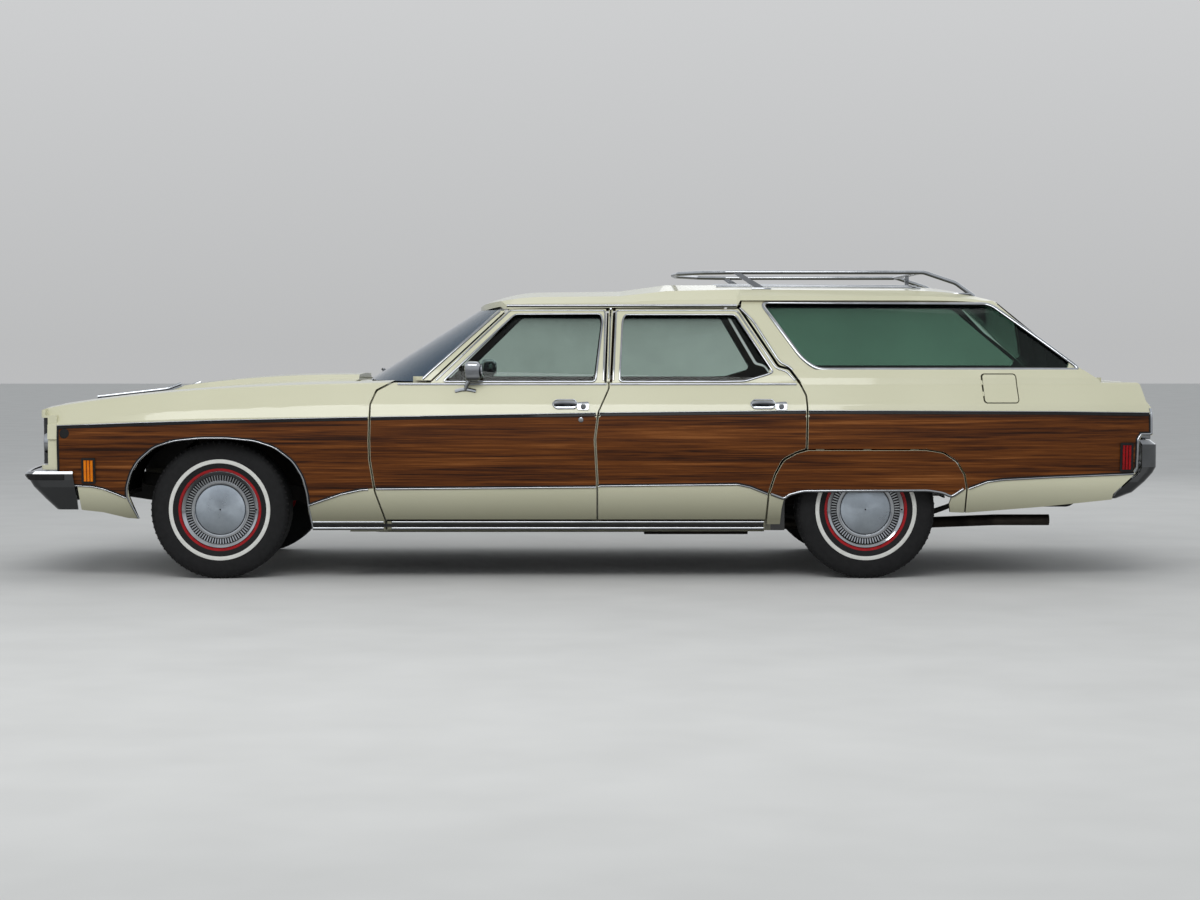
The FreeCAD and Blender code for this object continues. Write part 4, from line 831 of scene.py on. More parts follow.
FRONT_DOOR = outline((
    (-1007, 300), (-1056, 437, 60), (-1081, 600, 60), (-1083, 700, 60), (-1078, 873, 40), (-1050, 938, 20),
    (-960, 985), (96, 985), (96, 950, 20), (44, 835, 60), (27, 700, 60), (38, 500, 60), (39, 300),
))
REAR_DOOR = outline((
    (48, 300), (47, 500, 60), (36, 700, 60), (53, 835, 60), (105, 950, 20), (105, 985), (1040, 985),
    (1050, 971), (1077, 915, 40), (1081, 857, 60), (1077, 655, 10), (1025, 637, 40), (960, 602, 60),
    (922, 529, 40), (890, 428, 60), (878, 300),
))
SKIRT = outline((
    (887, 276), (899, 428, 60), (931, 526, 40), (969, 594, 60), (1031, 629, 40), (1088, 645), (1673, 645, 40),
    (1761, 630, 60), (1824, 586, 60), (1862, 523, 60), (1875, 453, 40), (1868, 333), (1799, 336),
    (1793, 378, 15), (1805, 410, 10), (1761, 431, 30), (1685, 443, 60), (1066, 440, 60), (997, 422, 30),
    (968, 396, 15), (959, 352, 15), (952, 276),
))
SKIRT_HOLE = outline((
    (880, 276), (891, 428, 60), (923, 529, 40), (961, 601, 60), (1026, 636, 40), (1086, 652),
    (1675, 652, 40), (1764, 637, 60), (1830, 592, 60), (1870, 526, 60), (1883, 453, 40), (1876, 333),
))
FENDER_AREA = outline((
    (-2641, 300), (-2641, 900), (-1087, 900), (-1092, 700, 60), (-1090, 600, 60), (-1065, 437, 60),
    (-1016, 300),
))
QUARTER_AREA = outline((
    (1088, 900), (1090, 857, 70), (1086, 652), (1086, 300), (2792, 300), (2792, 860), (2747, 900),
))
WOOD_TOP = outline((
    (-2640, 757), (-2282, 771), (-1904, 783), (-1524, 792), (-1082, 801), (56, 821), (1066, 832), (2309, 827),
    (2789, 820),
))
ARCH = outline((
    (-2295, 413), (-2292, 464), (-2270, 535), (-2233, 594), (-2154, 661), (-2054, 693), (-1921, 706),
    (-1790, 706), (-1656, 693), (-1557, 661), (-1467, 592), (-1418, 511), (-1397, 425), (-1393, 374),
))
ARCH_CENTRE = (FRONT_AXLE, 0.36)
WOOD_LOW_FRONT = outline(((-2640, 478), (-2542, 471), (-2471, 468), (-2414, 457), (-2356, 435)))
WOOD_LOW_MID = outline((
    (-1230, 430), (-1131, 452), (-1057, 457), (42, 466), (56, 472), (739, 479), (801, 466), (890, 431),
    (972, 403), (997, 424), (1066, 440), (1445, 442), (1685, 443), (1761, 431), (1805, 410), (1815, 420),
    (1875, 453), (1981, 492), (2056, 502), (2309, 515), (2713, 530),
))
WOOD_TAIL = outline(((2789, 733), (2744, 731), (2724, 700, 20), (2721, 560), (2708, 534)))
WOOD_REGION = WOOD_TOP + WOOD_TAIL + WOOD_LOW_MID[:-1][::-1] + ARCH[::-1] + WOOD_LOW_FRONT[::-1]
TAIL_STRIP = outline((
    (2795, 852), (2799.5, 830, 10), (2799.5, 724.5, 6), (2747, 724), (2731, 696, 15), (2728.5, 556),
    (2716, 533),
))
TAIL_LINE = outline(((2790, 822), (2790, 733), (2743, 733), (2722, 700, 15), (2719.5, 562), (2706, 541)))
SKIRT_EDGE = outline((
    (905, 428), (972, 403), (997, 424), (1066, 442), (1445, 443.5), (1685, 445), (1761, 433), (1803, 412),
    (1862, 452),
))
FRONT_WINDOW = outline(((-728, 984), (-374, 1322), (62, 1324), (72, 1290), (34, 984)))
REAR_WINDOW = outline((
    (154, 984), (171, 1289), (184, 1320), (743, 1320), (923, 1032), (895, 1020), (781, 986), (681, 984),
))
QUARTER_WINDOW = outline(((872, 1382), (2040, 1376), (2468, 1044), (1143, 1044), (1070, 1097)))
FRONT_LINING = outline(((-960, 360), (-960, 930), (0, 930), (-20, 700), (-5, 360)))
REAR_LINING = outline((
    (80, 360), (65, 700), (110, 930), (960, 930), (960, 660), (900, 600), (850, 500), (830, 360),
))


def wood_panels(flank):
    """Walnut film on the side, a sheet for each panel under it."""
    for name, node, body, area, holes in (
        ("fender", "fender", "car_body", FENDER_AREA, ()),
        ("front_door", "door_front", flank.doors["front"], FRONT_DOOR, ()),
        ("rear_door", "door_rear", flank.doors["rear"], REAR_DOOR, ()),
        ("quarter", "body", "car_body", QUARTER_AREA, (SKIRT_HOLE,)),
        ("skirt", "skirt", "car_body", SKIRT, ()),
    ):
        flank.patch("wood_" + name, body, (WOOD_REGION, shrunk(area, 0.0012)), WOOD, flank.tree(node),
                    outside_of=holes, step=0.025, proud=0.0008, depth=0.0015)


def strip_pairs(flank, line, ends, bright, bright_up, bright_section, black, black_up, black_section):
    """A bright and a black strip along a line, cut at the shut lines."""
    bodies = ("car_body", flank.doors["front"], flank.doors["rear"], "car_body")
    for name, body, (x0, x1) in zip(("fender", "front_door", "rear_door", "quarter"), bodies, ends):
        part = cut_line(line, x0, x1)
        flank.moulding(bright + name, raised(part, bright_up), bright_section, CHROME, body)
        flank.moulding(black + name, raised(part, black_up), black_section, BLACK_TRIM, body)


def wood_strips(flank):
    """The strips that frame the walnut film."""
    narrow = flat_bar(0.006, 0.004)
    upper = ((-2.64, -1.0925), (-1.079, 0.0365), (0.0475, 1.0775), (1.0905, 2.789))
    lower = ((-1.39, -1.0665), (-1.0555, 0.037), (0.0485, 0.888), (1.888, 2.72))
    strip_pairs(flank, WOOD_TOP, upper, "wood_edge_", 0.0095, bead(0.006, 0.006),
                "wood_line_", 0.0, flat_bar(0.013, 0.004))
    strip_pairs(flank, [ARCH[-1]] + WOOD_LOW_MID, lower, "low_edge_", -0.004, bead(0.009, 0.007),
                "low_line_", 0.0035, narrow)
    low_front = WOOD_LOW_FRONT + [(-2.299, 0.411)]
    flank.moulding("wood_front", [(-2.635, 0.752), (-2.635, 0.482)], flat_bar(0.011, 0.004), BLACK_TRIM)
    flank.moulding("wood_low_front", raised(low_front, -0.004), bead(0.007, 0.006))
    flank.moulding("wood_low_black", raised(low_front, 0.0025), narrow, BLACK_TRIM)
    flank.moulding("tail_strip", TAIL_STRIP, bead(0.012, 0.006), step=0.012)
    flank.moulding("tail_line", TAIL_LINE, narrow, BLACK_TRIM, step=0.012)
    flank.moulding("low_edge_skirt", SKIRT_EDGE, bead(0.014, 0.007), radius=0.02)


def arch_strips(flank):
    """Bright lip and black line round the front wheel opening."""
    cx, cz = ARCH_CENTRE
    lip = [(-2.240, 0.306)] + ARCH + [(-1.371, 0.252)]
    flank.moulding("arch_lip", lip, bead(0.009, 0.006), radius=0.03, axle=ARCH_CENTRE)
    line = []
    for x, z in ARCH:
        d = math.hypot(x - cx, z - cz)
        line.append((cx + (x - cx) * (d + 0.0075) / d, cz + (z - cz) * (d + 0.0075) / d))
    flank.moulding("arch_line", line, flat_bar(0.006, 0.004), BLACK_TRIM, radius=0.03, axle=ARCH_CENTRE)


def housing_lining(flank, steps=48):
    """Rough black sheet, 1 mm thick, just inside the front wheel housing."""
    tree = flank.tree("fender")
    reaches = (0.550, 0.650, 0.750, 0.850, 0.945)
    verts = []
    for k in range(steps + 1):
        turn = math.radians(10 + 160 * k / steps)
        way = Vector((math.cos(turn), 0, math.sin(turn)))
        for y in reaches:
            p = tree.ray_cast(Vector((ARCH_CENTRE[0], flank.side * y, ARCH_CENTRE[1])), way)[0]
            verts.append(p - way * 0.0018)
    faces = sheet_faces(steps + 1, len(reaches))
    o = make("housing_lining" + flank.name, verts, faces, HOUSING_BLACK, "car_body")
    thick = o.modifiers.new("thick", "SOLIDIFY")
    thick.thickness = 0.001
    thick.offset = 0.0


def sill_strips(flank):
    """Two bright strips on the sill with black between them."""
    tree = flank.tree("body", "fender")
    for k, (z, height) in enumerate(((0.286, 0.012), (0.255, 0.014))):
        for tag, x0, x1 in (("front", -1.372, -1.02), ("back", -1.006, 0.871)):
            flank.moulding("sill_%s_%d" % (tag, k), [(x0, z), (x1, z)], bead(height, 0.006), tree=tree)
    band = [(-1.37, 0.2635), (0.87, 0.2635), (0.87, 0.278), (-1.37, 0.278)]
    extrude("sill_black" + flank.name, band, flank.side * 0.950, flank.side * 0.9615, BLACK_TRIM, "car_body")


def door_handle(flank, tag, x0):
    """A pull in a six-sided frame and a push button beside it."""
    body = flank.doors[tag]
    corners = ((0, 0.876), (0.020, 0.895), (0.110, 0.895), (0.128, 0.874), (0.112, 0.852), (0.018, 0.852))
    rim = [(x0 + x, z) for x, z in corners]
    flank.patch("handle_dish_" + tag, body, (rim,), DULL_CHROME, proud=0.002, depth=0.003)
    flank.moulding("handle_rim_" + tag, rim, bead(0.007, 0.006), CHROME, body, None, 0.008, True, step=0.012)
    pull = [
        (-0.009, -0.002), (-0.010, 0.002), (-0.006, 0.006), (0.006, 0.006), (0.010, 0.002), (0.010, -0.002),
    ]
    found = []
    for t in [k / 14 for k in range(15)]:
        q, n = flank.hit(x0 + 0.010 + 0.108 * t, 0.8745)
        lift = 0.005 + 0.016 * math.sin(math.pi * t) ** 0.5 if 0 < t < 1 else 0.002
        found.append((q + n * lift, n))
    sweep_on("handle_" + tag + flank.name, found, pull, CHROME, body)
    plate = ((124, 846, 8), (124, 880, 8), (183, 884, 10), (181, 843, 10))
    unit = outline([(x0 / MM + x, z, r) for x, z, r in plate])
    flank.patch("button_plate_" + tag, body, (unit,), DULL_CHROME, step=0.012, proud=0.006, depth=0.008)
    button = [(0.0, 0.017), (0.010, 0.017), (0.013, 0.013), (0.0135, 0.004), (0.0, 0.004)]
    flank.lathe("button_" + tag, button, flank.hit(x0 + 0.154, 0.863)[0], CHROME, body, 28)


def door_handles(flank):
    """Both handles of a side, and the lock below the front one."""
    door_handle(flank, "front", -0.180)
    door_handle(flank, "rear", 0.802)
    lock = [(0.0, 0.007), (0.006, 0.007), (0.012, 0.005), (0.0145, -0.004), (0.0, -0.004)]
    flank.lathe("lock", lock, flank.hit(-0.038, 0.797)[0], CHROME, flank.doors["front"], 28)


def marker_lamp(flank, name, x0, x1, z0, z1, mat):
    """Three upright lenses in a rubber case."""
    corners = ((x0, z0), (x1, z0), (x1, z1), (x0, z1))
    case = outline([(x / MM, z / MM, 8) for x, z in corners])
    flank.patch(name + "_case", "car_body", (case,), BLACK_RUBBER, proud=0.010, depth=0.012)
    wide = (x1 - x0 - 0.020) / 3
    for k in range(3):
        x = x0 + 0.010 + wide * (k + 0.5)
        lens = bead(wide - 0.003, 0.007, 0.002)
        flank.moulding("%s_%d" % (name, k), [(x, z0 + 0.012), (x, z1 - 0.012)], lens, mat, lift=0.0095)


def marker_lamps(flank):
    """Amber lamp in front, red one at the back, and a round rubber cap by the headlamps."""
    marker_lamp(flank, "amber_marker", -2.516, -2.447, 0.480, 0.608, LAMP_AMBER)
    marker_lamp(flank, "red_marker", 2.640, 2.706, 0.538, 0.682, LAMP_RED)
    cap = [(0.0, 0.005), (0.020, 0.005), (0.025, 0.001), (0.025, -0.006), (0.0, -0.006)]
    flank.lathe("side_cap", cap, flank.hit(-2.601, 0.727)[0], BLACK_RUBBER, "car_body", 32)


def window_trims(flank):
    """Bright surrounds, drip rail and pillar trims, most of them on the curve of the side glass."""
    front, rear = flank.doors["front"], flank.doors["rear"]
    around, frame_edge = bead(0.010, 0.005), bead(0.009, 0.004)
    flank.glass_trim("quarter_trim", QUARTER_WINDOW, bead(0.018, 0.007), "car_body", REAR_CURVE, 0.04, True)
    flank.glass_trim("front_window_trim", FRONT_WINDOW, around, front, DOOR_CURVE, 0.02, True)
    flank.glass_trim("rear_window_trim", REAR_WINDOW, around, rear, DOOR_CURVE, 0.02, True)
    flank.moulding("belt_trim_front", [(-0.95, 0.972), (0.09, 0.972)], bead(0.012, 0.006), CHROME, front)
    flank.moulding("belt_trim_rear", [(0.108, 0.972), (1.035, 0.972)], bead(0.012, 0.006), CHROME, rear)
    roof_side = tree_of("roof", "body" + flank.name)
    flank.moulding("drip_rail", [(-0.415, 1.364), (0.752, 1.366)], bead(0.014, 0.010), tree=roof_side)
    tail = [(0.768, 1.352), (0.83, 1.29), (0.958, 1.078), (1.012, 1.054), (1.052, 0.995)]
    flank.glass_trim("drip_tail", tail, bead(0.011, 0.007), "car_body", REAR_CURVE, 0.03)
    pillar = [(-0.828, 0.997), (-0.790, 1.033), (-0.452, 1.338)]
    flank.glass_trim("pillar_trim", pillar, bead(0.013, 0.007), "car_body", DOOR_CURVE)
    line = [(-0.762, 0.990), (-0.404, 1.336), (-0.394, 1.342), (0.078, 1.342), (0.084, 1.33), (0.074, 0.99)]
    flank.glass_trim("frame_trim_front", line, frame_edge, front, DOOR_CURVE, 0.02)
    line = [(0.124, 0.99), (0.140, 1.336), (0.150, 1.342), (0.752, 1.342), (0.938, 1.05), (0.990, 1.035)]
    flank.glass_trim("frame_trim_rear", line + [(1.030, 0.99)], frame_edge, rear, DOOR_CURVE, 0.02)
    post = [(0.1005, 0.998), (0.1115, 1.350)]
    flank.moulding("post_trim", post, bead(0.008, 0.004), DULL_CHROME, tree=flank.tree("body"))


def door_mirror(flank):
    """Bright shell on a stalk, swept foot and glass."""
    door, s, side_name = flank.doors["front"], flank.side, flank.name
    lo, hi = (-0.616, s * 0.918, 0.987), (-0.533, s * 0.990, 1.087)
    shell = block("mirror_shell" + side_name, lo, hi, CHROME, door, 0.026, 6)
    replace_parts(shell, "mirror" + side_name)
    foot = []
    for x, z, lift in (
        (-0.664, 0.936, 0.003), (-0.630, 0.944, 0.006), (-0.600, 0.944, 0.007), (-0.560, 0.936, 0.004),
    ):
        q, n = flank.hit(x, z)
        foot.append(q + n * lift)
    foot = rounded(foot, 0.02, False, 3)
    up = flank.hit(-0.664, 0.94)[1]
    section = [(-0.009, -0.003), (-0.008, 0.003), (0.0, 0.006), (0.008, 0.003), (0.009, -0.003)]
    sweep("mirror_foot" + side_name, foot, [up] * len(foot), section, CHROME, door)
    q, n = flank.hit(-0.612, 0.943)
    stalk = [q + n * 0.004, (-0.606, s * 0.950, 0.968), (-0.590, s * 0.954, 0.995)]
    tube("mirror_stalk" + side_name, stalk, 0.010, CHROME, door, 16, 0.012)
    rim = [(0.030, 0.5345), (0.034, 0.5345), (0.036, 0.5315), (0.034, 0.5290), (0.030, 0.5305)]
    front_lathe("mirror_rim" + side_name, rim, s * 0.954, 1.037, CHROME, door, 48)
    pane = [(0.0, 0.5310), (0.031, 0.5310), (0.031, 0.5335), (0.0, 0.5335)]
    front_lathe("mirror_glass" + side_name, pane, s * 0.954, 1.037, MIRROR, door, 48)


def tyre(flank, end, c, body):
    """Grooved tread with shoulder lugs, and a white band."""
    wall = [
        (0.193, -0.082), (0.200, -0.095), (0.232, -0.1065), (0.300, -0.1065), (0.322, -0.100),
        (0.336, -0.092), (0.3445, -0.078),
    ]
    profile = list(wall)
    for d in (-0.054, -0.027, 0.0, 0.027, 0.054):
        profile += [(0.345, d - 0.0035), (0.3375, d - 0.0025), (0.3375, d + 0.0025), (0.345, d + 0.0035)]
    profile += [(r, -d) for r, d in reversed(wall)]
    node = "tyre_" + end + flank.name
    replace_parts(lathe(node + "_rubber", profile, c, TYRE, body, flank.side, 120, sharp=30), node)
    band = [
        (0.233, 0.1045), (0.2335, 0.1078), (0.236, 0.1085), (0.250, 0.1085), (0.2525, 0.1078),
        (0.253, 0.1045),
    ]
    flank.lathe("whitewall_" + end, band, c, WHITEWALL, body, 120)
    lug = ((0.3445, 0.072), (0.3445, 0.092), (0.333, 0.098), (0.330, 0.094))
    teeth("tyre_lugs_" + end + flank.name, lug, 0.0042, 72, c, TYRE, body, (-flank.side, flank.side))


def wheel_cover(flank, end, c, body):
    """Bright cover: brushed disc inside a ring of fins."""
    shell = [
        (0.0, 0.072), (0.110, 0.070), (0.124, 0.072), (0.128, 0.078), (0.134, 0.080), (0.144, 0.079),
        (0.147, 0.074), (0.149, 0.062), (0.168, 0.066), (0.170, 0.078), (0.174, 0.084), (0.184, 0.090),
        (0.190, 0.094), (0.1935, 0.092), (0.192, 0.084), (0.170, 0.058), (0.0, 0.050),
    ]
    disc = [
        (0.0, 0.0830), (0.040, 0.0822), (0.080, 0.0800), (0.110, 0.0768), (0.122, 0.0750), (0.1235, 0.0725),
        (0.0, 0.0725),
    ]
    shadow = [(0.1485, 0.0635), (0.1485, 0.066), (0.1685, 0.0695), (0.1695, 0.066)]
    centre = [(0.0, 0.0845), (0.0035, 0.0843), (0.0045, 0.0825), (0.0, 0.0825)]
    fin = ((0.1465, 0.066), (0.1465, 0.0765), (0.1715, 0.0805), (0.1715, 0.068))
    flank.lathe("cover_" + end, shell, c, CHROME, body, 120, sharp=30, slot="wheel_metal")
    flank.lathe("cover_disc_" + end, disc, c, BRUSHED, body)
    flank.lathe("cover_shadow_" + end, shadow, c, BLACK_TRIM, body)
    flank.lathe("cover_centre_" + end, centre, c, BLACK_TRIM, body, 24)
    teeth("cover_fins_" + end + flank.name, fin, 0.0028, 76, c, CHROME, body, (flank.side,), "wheel_metal")


def wheel(flank, end, x):
    """Red rim, brake drum and valve, with their tyre and cover."""
    body = "wheel_" + end + flank.name
    c = (x, flank.side * WHEEL_Y, AXLE_Z)
    tyre(flank, end, c, body)
    wheel_cover(flank, end, c, body)
    rim = [
        (0.208, 0.088), (0.2095, 0.094), (0.206, 0.098), (0.196, 0.097), (0.192, 0.090), (0.186, 0.070),
        (0.178, 0.050), (0.178, -0.082), (0.192, -0.082), (0.196, -0.088), (0.190, -0.080), (0.186, 0.040),
    ]
    drum = [
        (0.0, 0.045), (0.150, 0.045), (0.158, 0.035), (0.160, -0.030), (0.150, -0.040), (0.03, -0.045),
        (0.03, -0.06), (0.0, -0.06),
    ]
    valve = [(0.0, 0.02), (0.004, 0.02), (0.004, -0.01), (0.0, -0.01)]
    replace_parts(flank.lathe("rim_" + end, rim, c, RED_RIM, body), body)
    flank.lathe("brake_drum_" + end, drum, c, IRON, body, 48)
    place = (x + 0.180, flank.side * (WHEEL_Y + 0.072), AXLE_Z)
    flank.lathe("valve_" + end, valve, place, BLACK_RUBBER, body, 12)


def door_lining(flank, tag, area, x0, x1):
    """Vinyl lining with an armrest between two x and a window winder."""
    body, s = flank.doors[tag], flank.side
    own = tree_of(body)
    flank.patch("lining_" + tag, body, (area,), BROWN_VINYL, own, step=0.04, proud=0.006, depth=0.004,
                inner=True)
    y = hit_side(own, (x0 + x1) / 2, 0.66, s, True)[0].y
    lo, hi = (x0, y, 0.632), (x1, y - s * 0.055, 0.682)
    block("armrest_" + tag + flank.name, lo, hi, BROWN_VINYL, body, 0.016, 4)
    stem, knob = x1 - 0.05, x1 - 0.16
    crank = [
        (stem, y - s * 0.004, 0.56), (stem, y - s * 0.022, 0.56), (knob, y - s * 0.026, 0.52),
        (knob, y - s * 0.05, 0.52),
    ]
    tube("winder_" + tag + flank.name, crank, 0.006, CHROME, body, 10, 0.006)


def tail_lamp(flank):
    """Bright dividers and bezels on the red lens."""
    y = flank.side * 0.830
    for k in range(3):
        z = 0.705 + 0.157 * (k + 1) / 4
        lo, hi = (2.798, y - 0.066, z - 0.002), (2.8035, y + 0.066, z + 0.002)
        block("tail_lamp_bar_%d%s" % (k, flank.name), lo, hi, CHROME, "car_body", 0.001)
    inner, outer = y - flank.side * 0.0765, y + flank.side * 0.0765
    for tag, y0, y1, z0, z1 in (
        ("low", y - 0.078, y + 0.078, 0.698, 0.7045),
        ("high", y - 0.078, y + 0.078, 0.8625, 0.869),
        ("in", inner - 0.004, inner + 0.004, 0.700, 0.867),
        ("out", outer - 0.004, outer + 0.004, 0.700, 0.867),
    ):
        block("tail_bezel_" + tag + flank.name, (2.752, y0, z0), (2.806, y1, z1), CHROME, "car_body")


def headlamps(flank):
    """Two round lamps with bezels in a ribbed panel."""
    middle = flank.side * 0.700
    for k, z in enumerate((0.580, 0.590, 0.766, 0.776, 0.786, 0.796)):
        lo, hi = (-2.7245, middle - 0.172, z - 0.002), (-2.7215, middle + 0.172, z + 0.002)
        block("lamp_rib_%d%s" % (k, flank.name), lo, hi, DULL_CHROME, "car_body", 0.0008)
    bezel = [(0.073, 2.690), (0.073, 2.720), (0.078, 2.724), (0.086, 2.720), (0.090, 2.704), (0.090, 2.690)]
    silver = [(0.072, 2.7125), (0.0, 2.7125), (0.0, 2.7130), (0.072, 2.7130)]
    turns = [math.pi / 2 * t / 8 for t in range(9)]
    lens = [(0.0725 * math.sin(t), 2.7135 + 0.010 * math.cos(t)) for t in turns]
    lens += [(0.0725, 2.7132), (0.0, 2.7132)]
    for k, y in enumerate((flank.side * 0.620, flank.side * 0.800)):
        tag = "_%d%s" % (k, flank.name)
        front_lathe("lamp_bezel" + tag, bezel, y, 0.677, CHROME, "car_body", 64)
        front_lathe("lamp_mirror" + tag, silver, y, 0.677, MIRROR, "car_body", 64, "lamp_clear")
        front_lathe("lamp_lens" + tag, lens, y, 0.677, LAMP_GLASS, "car_body", 64)


def hood_rail(flank):
    """A standing bright rail with a dark line, ahead of the hood's bulge."""
    tree = tree_of("hood")
    found = []
    for t in [k / 21 for k in range(22)]:
        found.append(hit_down(tree, -2.560 + 0.440 * t, flank.side * (0.318 + 0.012 * t)))
    rail = [
        (-0.009, -0.003), (-0.009, 0.017), (-0.006, 0.022), (0.0, 0.024), (0.006, 0.022), (0.009, 0.017),
        (0.009, -0.003),
    ]
    dark = [(-0.0098, 0.008), (-0.0098, 0.013), (0.0098, 0.013), (0.0098, 0.008)]
    sweep_on("hood_rail" + flank.name, found, rail, CHROME, "hood")
    sweep_on("hood_rail_line" + flank.name, found, dark, BLACK_TRIM, "hood")


def wiper(flank):
    """A boss at the foot of the screen, an arm and a blade, both lying to the right."""
    y = -0.53 if flank.side < 0 else 0.03
    pivot = hit_down(tree_of("cowl", "windshield", "hood"), -1.095, y)[0]
    boss = [(0, 0), (0.012, 0), (0.012, 0.012), (0, 0.012)]
    arm = [pivot + Vector(step) for step in ((0, 0, 0.010), (-0.02, 0.16, 0.014), (-0.035, 0.33, 0.006))]
    blade = [pivot + Vector(step) for step in ((-0.02, 0.10, 0.008), (-0.045, 0.50, 0.004))]
    lathe("wiper_boss" + flank.name, boss, pivot, CHROME, "car_body", 1, 20)
    tube("wiper_arm" + flank.name, arm, 0.004, CHROME, "car_body", 8)
    tube("wiper_blade" + flank.name, blade, 0.005, BLACK_RUBBER, "car_body", 8)


GATE_X, GATE_Z = 2.315, 0.8


def gate_point(r, degrees, y):
    """A point on the tailgate's curve, at a turn about its middle line."""
    a = math.radians(degrees)
    return (GATE_X + r * math.cos(a), y, GATE_Z + r * math.sin(a))


def gate_up(degrees):
    """The way out of the tailgate's curve at a turn."""
    return (Vector(gate_point(1.0, degrees, 0)) - Vector(gate_point(0.0, 0, 0))).normalized()


def gate_panel(rows=19, columns=13):
    """Walnut film on the tailgate."""
    verts = []
    for turn in [-12.0 + 27.0 * i / (rows - 1) for i in range(rows)]:
        verts += [gate_point(0.4315, turn, -0.645 + 1.290 * j / (columns - 1)) for j in range(columns)]
    o = make("gate_wood", verts, sheet_faces(rows, columns), WOOD, "tailgate", True, 60)
    bm = bmesh.new()
    bm.from_mesh(o.data)
    bmesh.ops.solidify(bm, geom=bm.faces, thickness=0.002)
    bm.to_mesh(o.data)
    bm.free()


def gate_trims():
    """Bright frame of the film, with a handle and a lock above it."""
    section = bead(0.014, 0.007)
    low, high, half = -12.6, 15.6, 0.652
    for tag, turn in (("low", low), ("high", high)):
        found = [(Vector(gate_point(0.4300, turn, y)), gate_up(turn)) for y in (-half, -0.3, 0.0, 0.3, half)]
        sweep_on("gate_trim_" + tag, found, section, CHROME, "tailgate")
    turns = [low + (high - low) * k / 12 for k in range(13)]
    for side_name, side in SIDES:
        found = [(Vector(gate_point(0.4300, turn, side * half)), gate_up(turn)) for turn in turns]
        sweep_on("gate_trim_" + side_name, found, section, CHROME, "tailgate")
    x, _, z = gate_point(0.430, 19.5, 0.0)
    lo, hi = (x - 0.004, -0.07, z - 0.007), (x + 0.0035, 0.07, z + 0.007)
    block("gate_handle", lo, hi, CHROME, "tailgate", 0.003, 3)
    lock = [(0.0, 0.0035), (0.008, 0.0035), (0.010, 0.002), (0.010, -0.006), (0.0, -0.006)]
    lathe("gate_lock", lock, (x, 0.13, z), CHROME, "tailgate", 1, 24, "x")


def bumper_strip(name, node, z, end, half, side_x=()):
    """A rubbing strip across a bumper, and round to the x given on its sides."""
    tree = tree_of(node)
    rays = [((x, -1.4, z), (0, 1, 0)) for x in side_x]
    rays += [((end * 3.4, half * (k / 16 - 1), z), (-end, 0, 0)) for k in range(33)]
    rays += [((x, 1.4, z), (0, -1, 0)) for x in reversed(side_x)]
    found = []
    for start, way in rays:
        p, n, _, _ = tree.ray_cast(Vector(start), Vector(way))
        if p is not None:
            found.append((p, -n if n.dot(Vector(way)) > 0 else n))
    sweep_on(name, found, flat_bar(0.030, 0.008, 0.004, 0.003), BLACK_RUBBER, "car_body")


def headliner(rows=41, columns=15):
    """Cloth close under the roof."""
    tree = tree_of("roof")
    verts = []
    for x in [-0.42 + 2.40 * i / (rows - 1) for i in range(rows)]:
        for y in [-0.60 + 1.20 * j / (columns - 1) for j in range(columns)]:
            p = tree.ray_cast(Vector((x, y, 1.0)), Vector((0, 0, 1)))[0]
            verts.append((x, y, (p.z if p is not None else 1.36) - 0.004))
    make("headliner", verts, sheet_faces(rows, columns), HEADLINER, "car_body")


CHANNEL_PITCH, CHANNEL_DEPTH = 0.096, 0.010


def stuffed(p, half, radius, crown):
    """A point of the unit cube moved onto a rounded box with a crowned, sewn upper face."""
    q = Vector([a * h for a, h in zip(p, half)])
    core = Vector([max(radius - h, min(h - radius, c)) for c, h in zip(q, half)])
    if (q - core).length > 1e-9:
        q = core + (q - core).normalized() * radius
    up = max(0.0, p.z)
    q.z += up * crown * (1 - p.x ** 4) * (1 - p.y ** 6)
    off = abs((q.y / CHANNEL_PITCH) % 1.0 - 0.5) * CHANNEL_PITCH
    if abs(p.x) < 0.92 and abs(p.y) < 0.985:
        q.z -= up * CHANNEL_DEPTH * math.exp(-(off / 0.007) ** 2)
    if abs(p.y) < 0.97:
        q.z -= up * CHANNEL_DEPTH * 0.8 * math.exp(-((abs(p.x) - 0.86) / 0.05) ** 2)
    return q


def pad(name, centre, half, radius, crown, lean, n):
    """A cushion of n divisions a side, turned about the y axis by an angle in degrees."""
    verts, faces, index = [], [], {}
    cos, sin = math.cos(math.radians(lean)), math.sin(math.radians(lean))

    def vertex(key):
        if key not in index:
            q = stuffed(Vector([2 * k / count - 1 for k, count in zip(key, n)]), half, radius, crown)
            index[key] = len(verts)
            verts.append(Vector((q.x * cos + q.z * sin, q.y, q.z * cos - q.x * sin)) + Vector(centre))
        return index[key]

    for a in range(3):
        b, c = (a + 1) % 3, (a + 2) % 3
        for end, u, v in [(e, u, v) for e in (0, n[a]) for u in range(n[b]) for v in range(n[c])]:
            quad = []
            for du, dv in ((0, 0), (1, 0), (1, 1), (0, 1)):
                key = [0, 0, 0]
                key[a], key[b], key[c] = end, u + du, v + dv
                quad.append(vertex(tuple(key)))
            faces.append(quad)
    o = make(name, verts, faces, BROWN_CLOTH, "car_body")
    return o


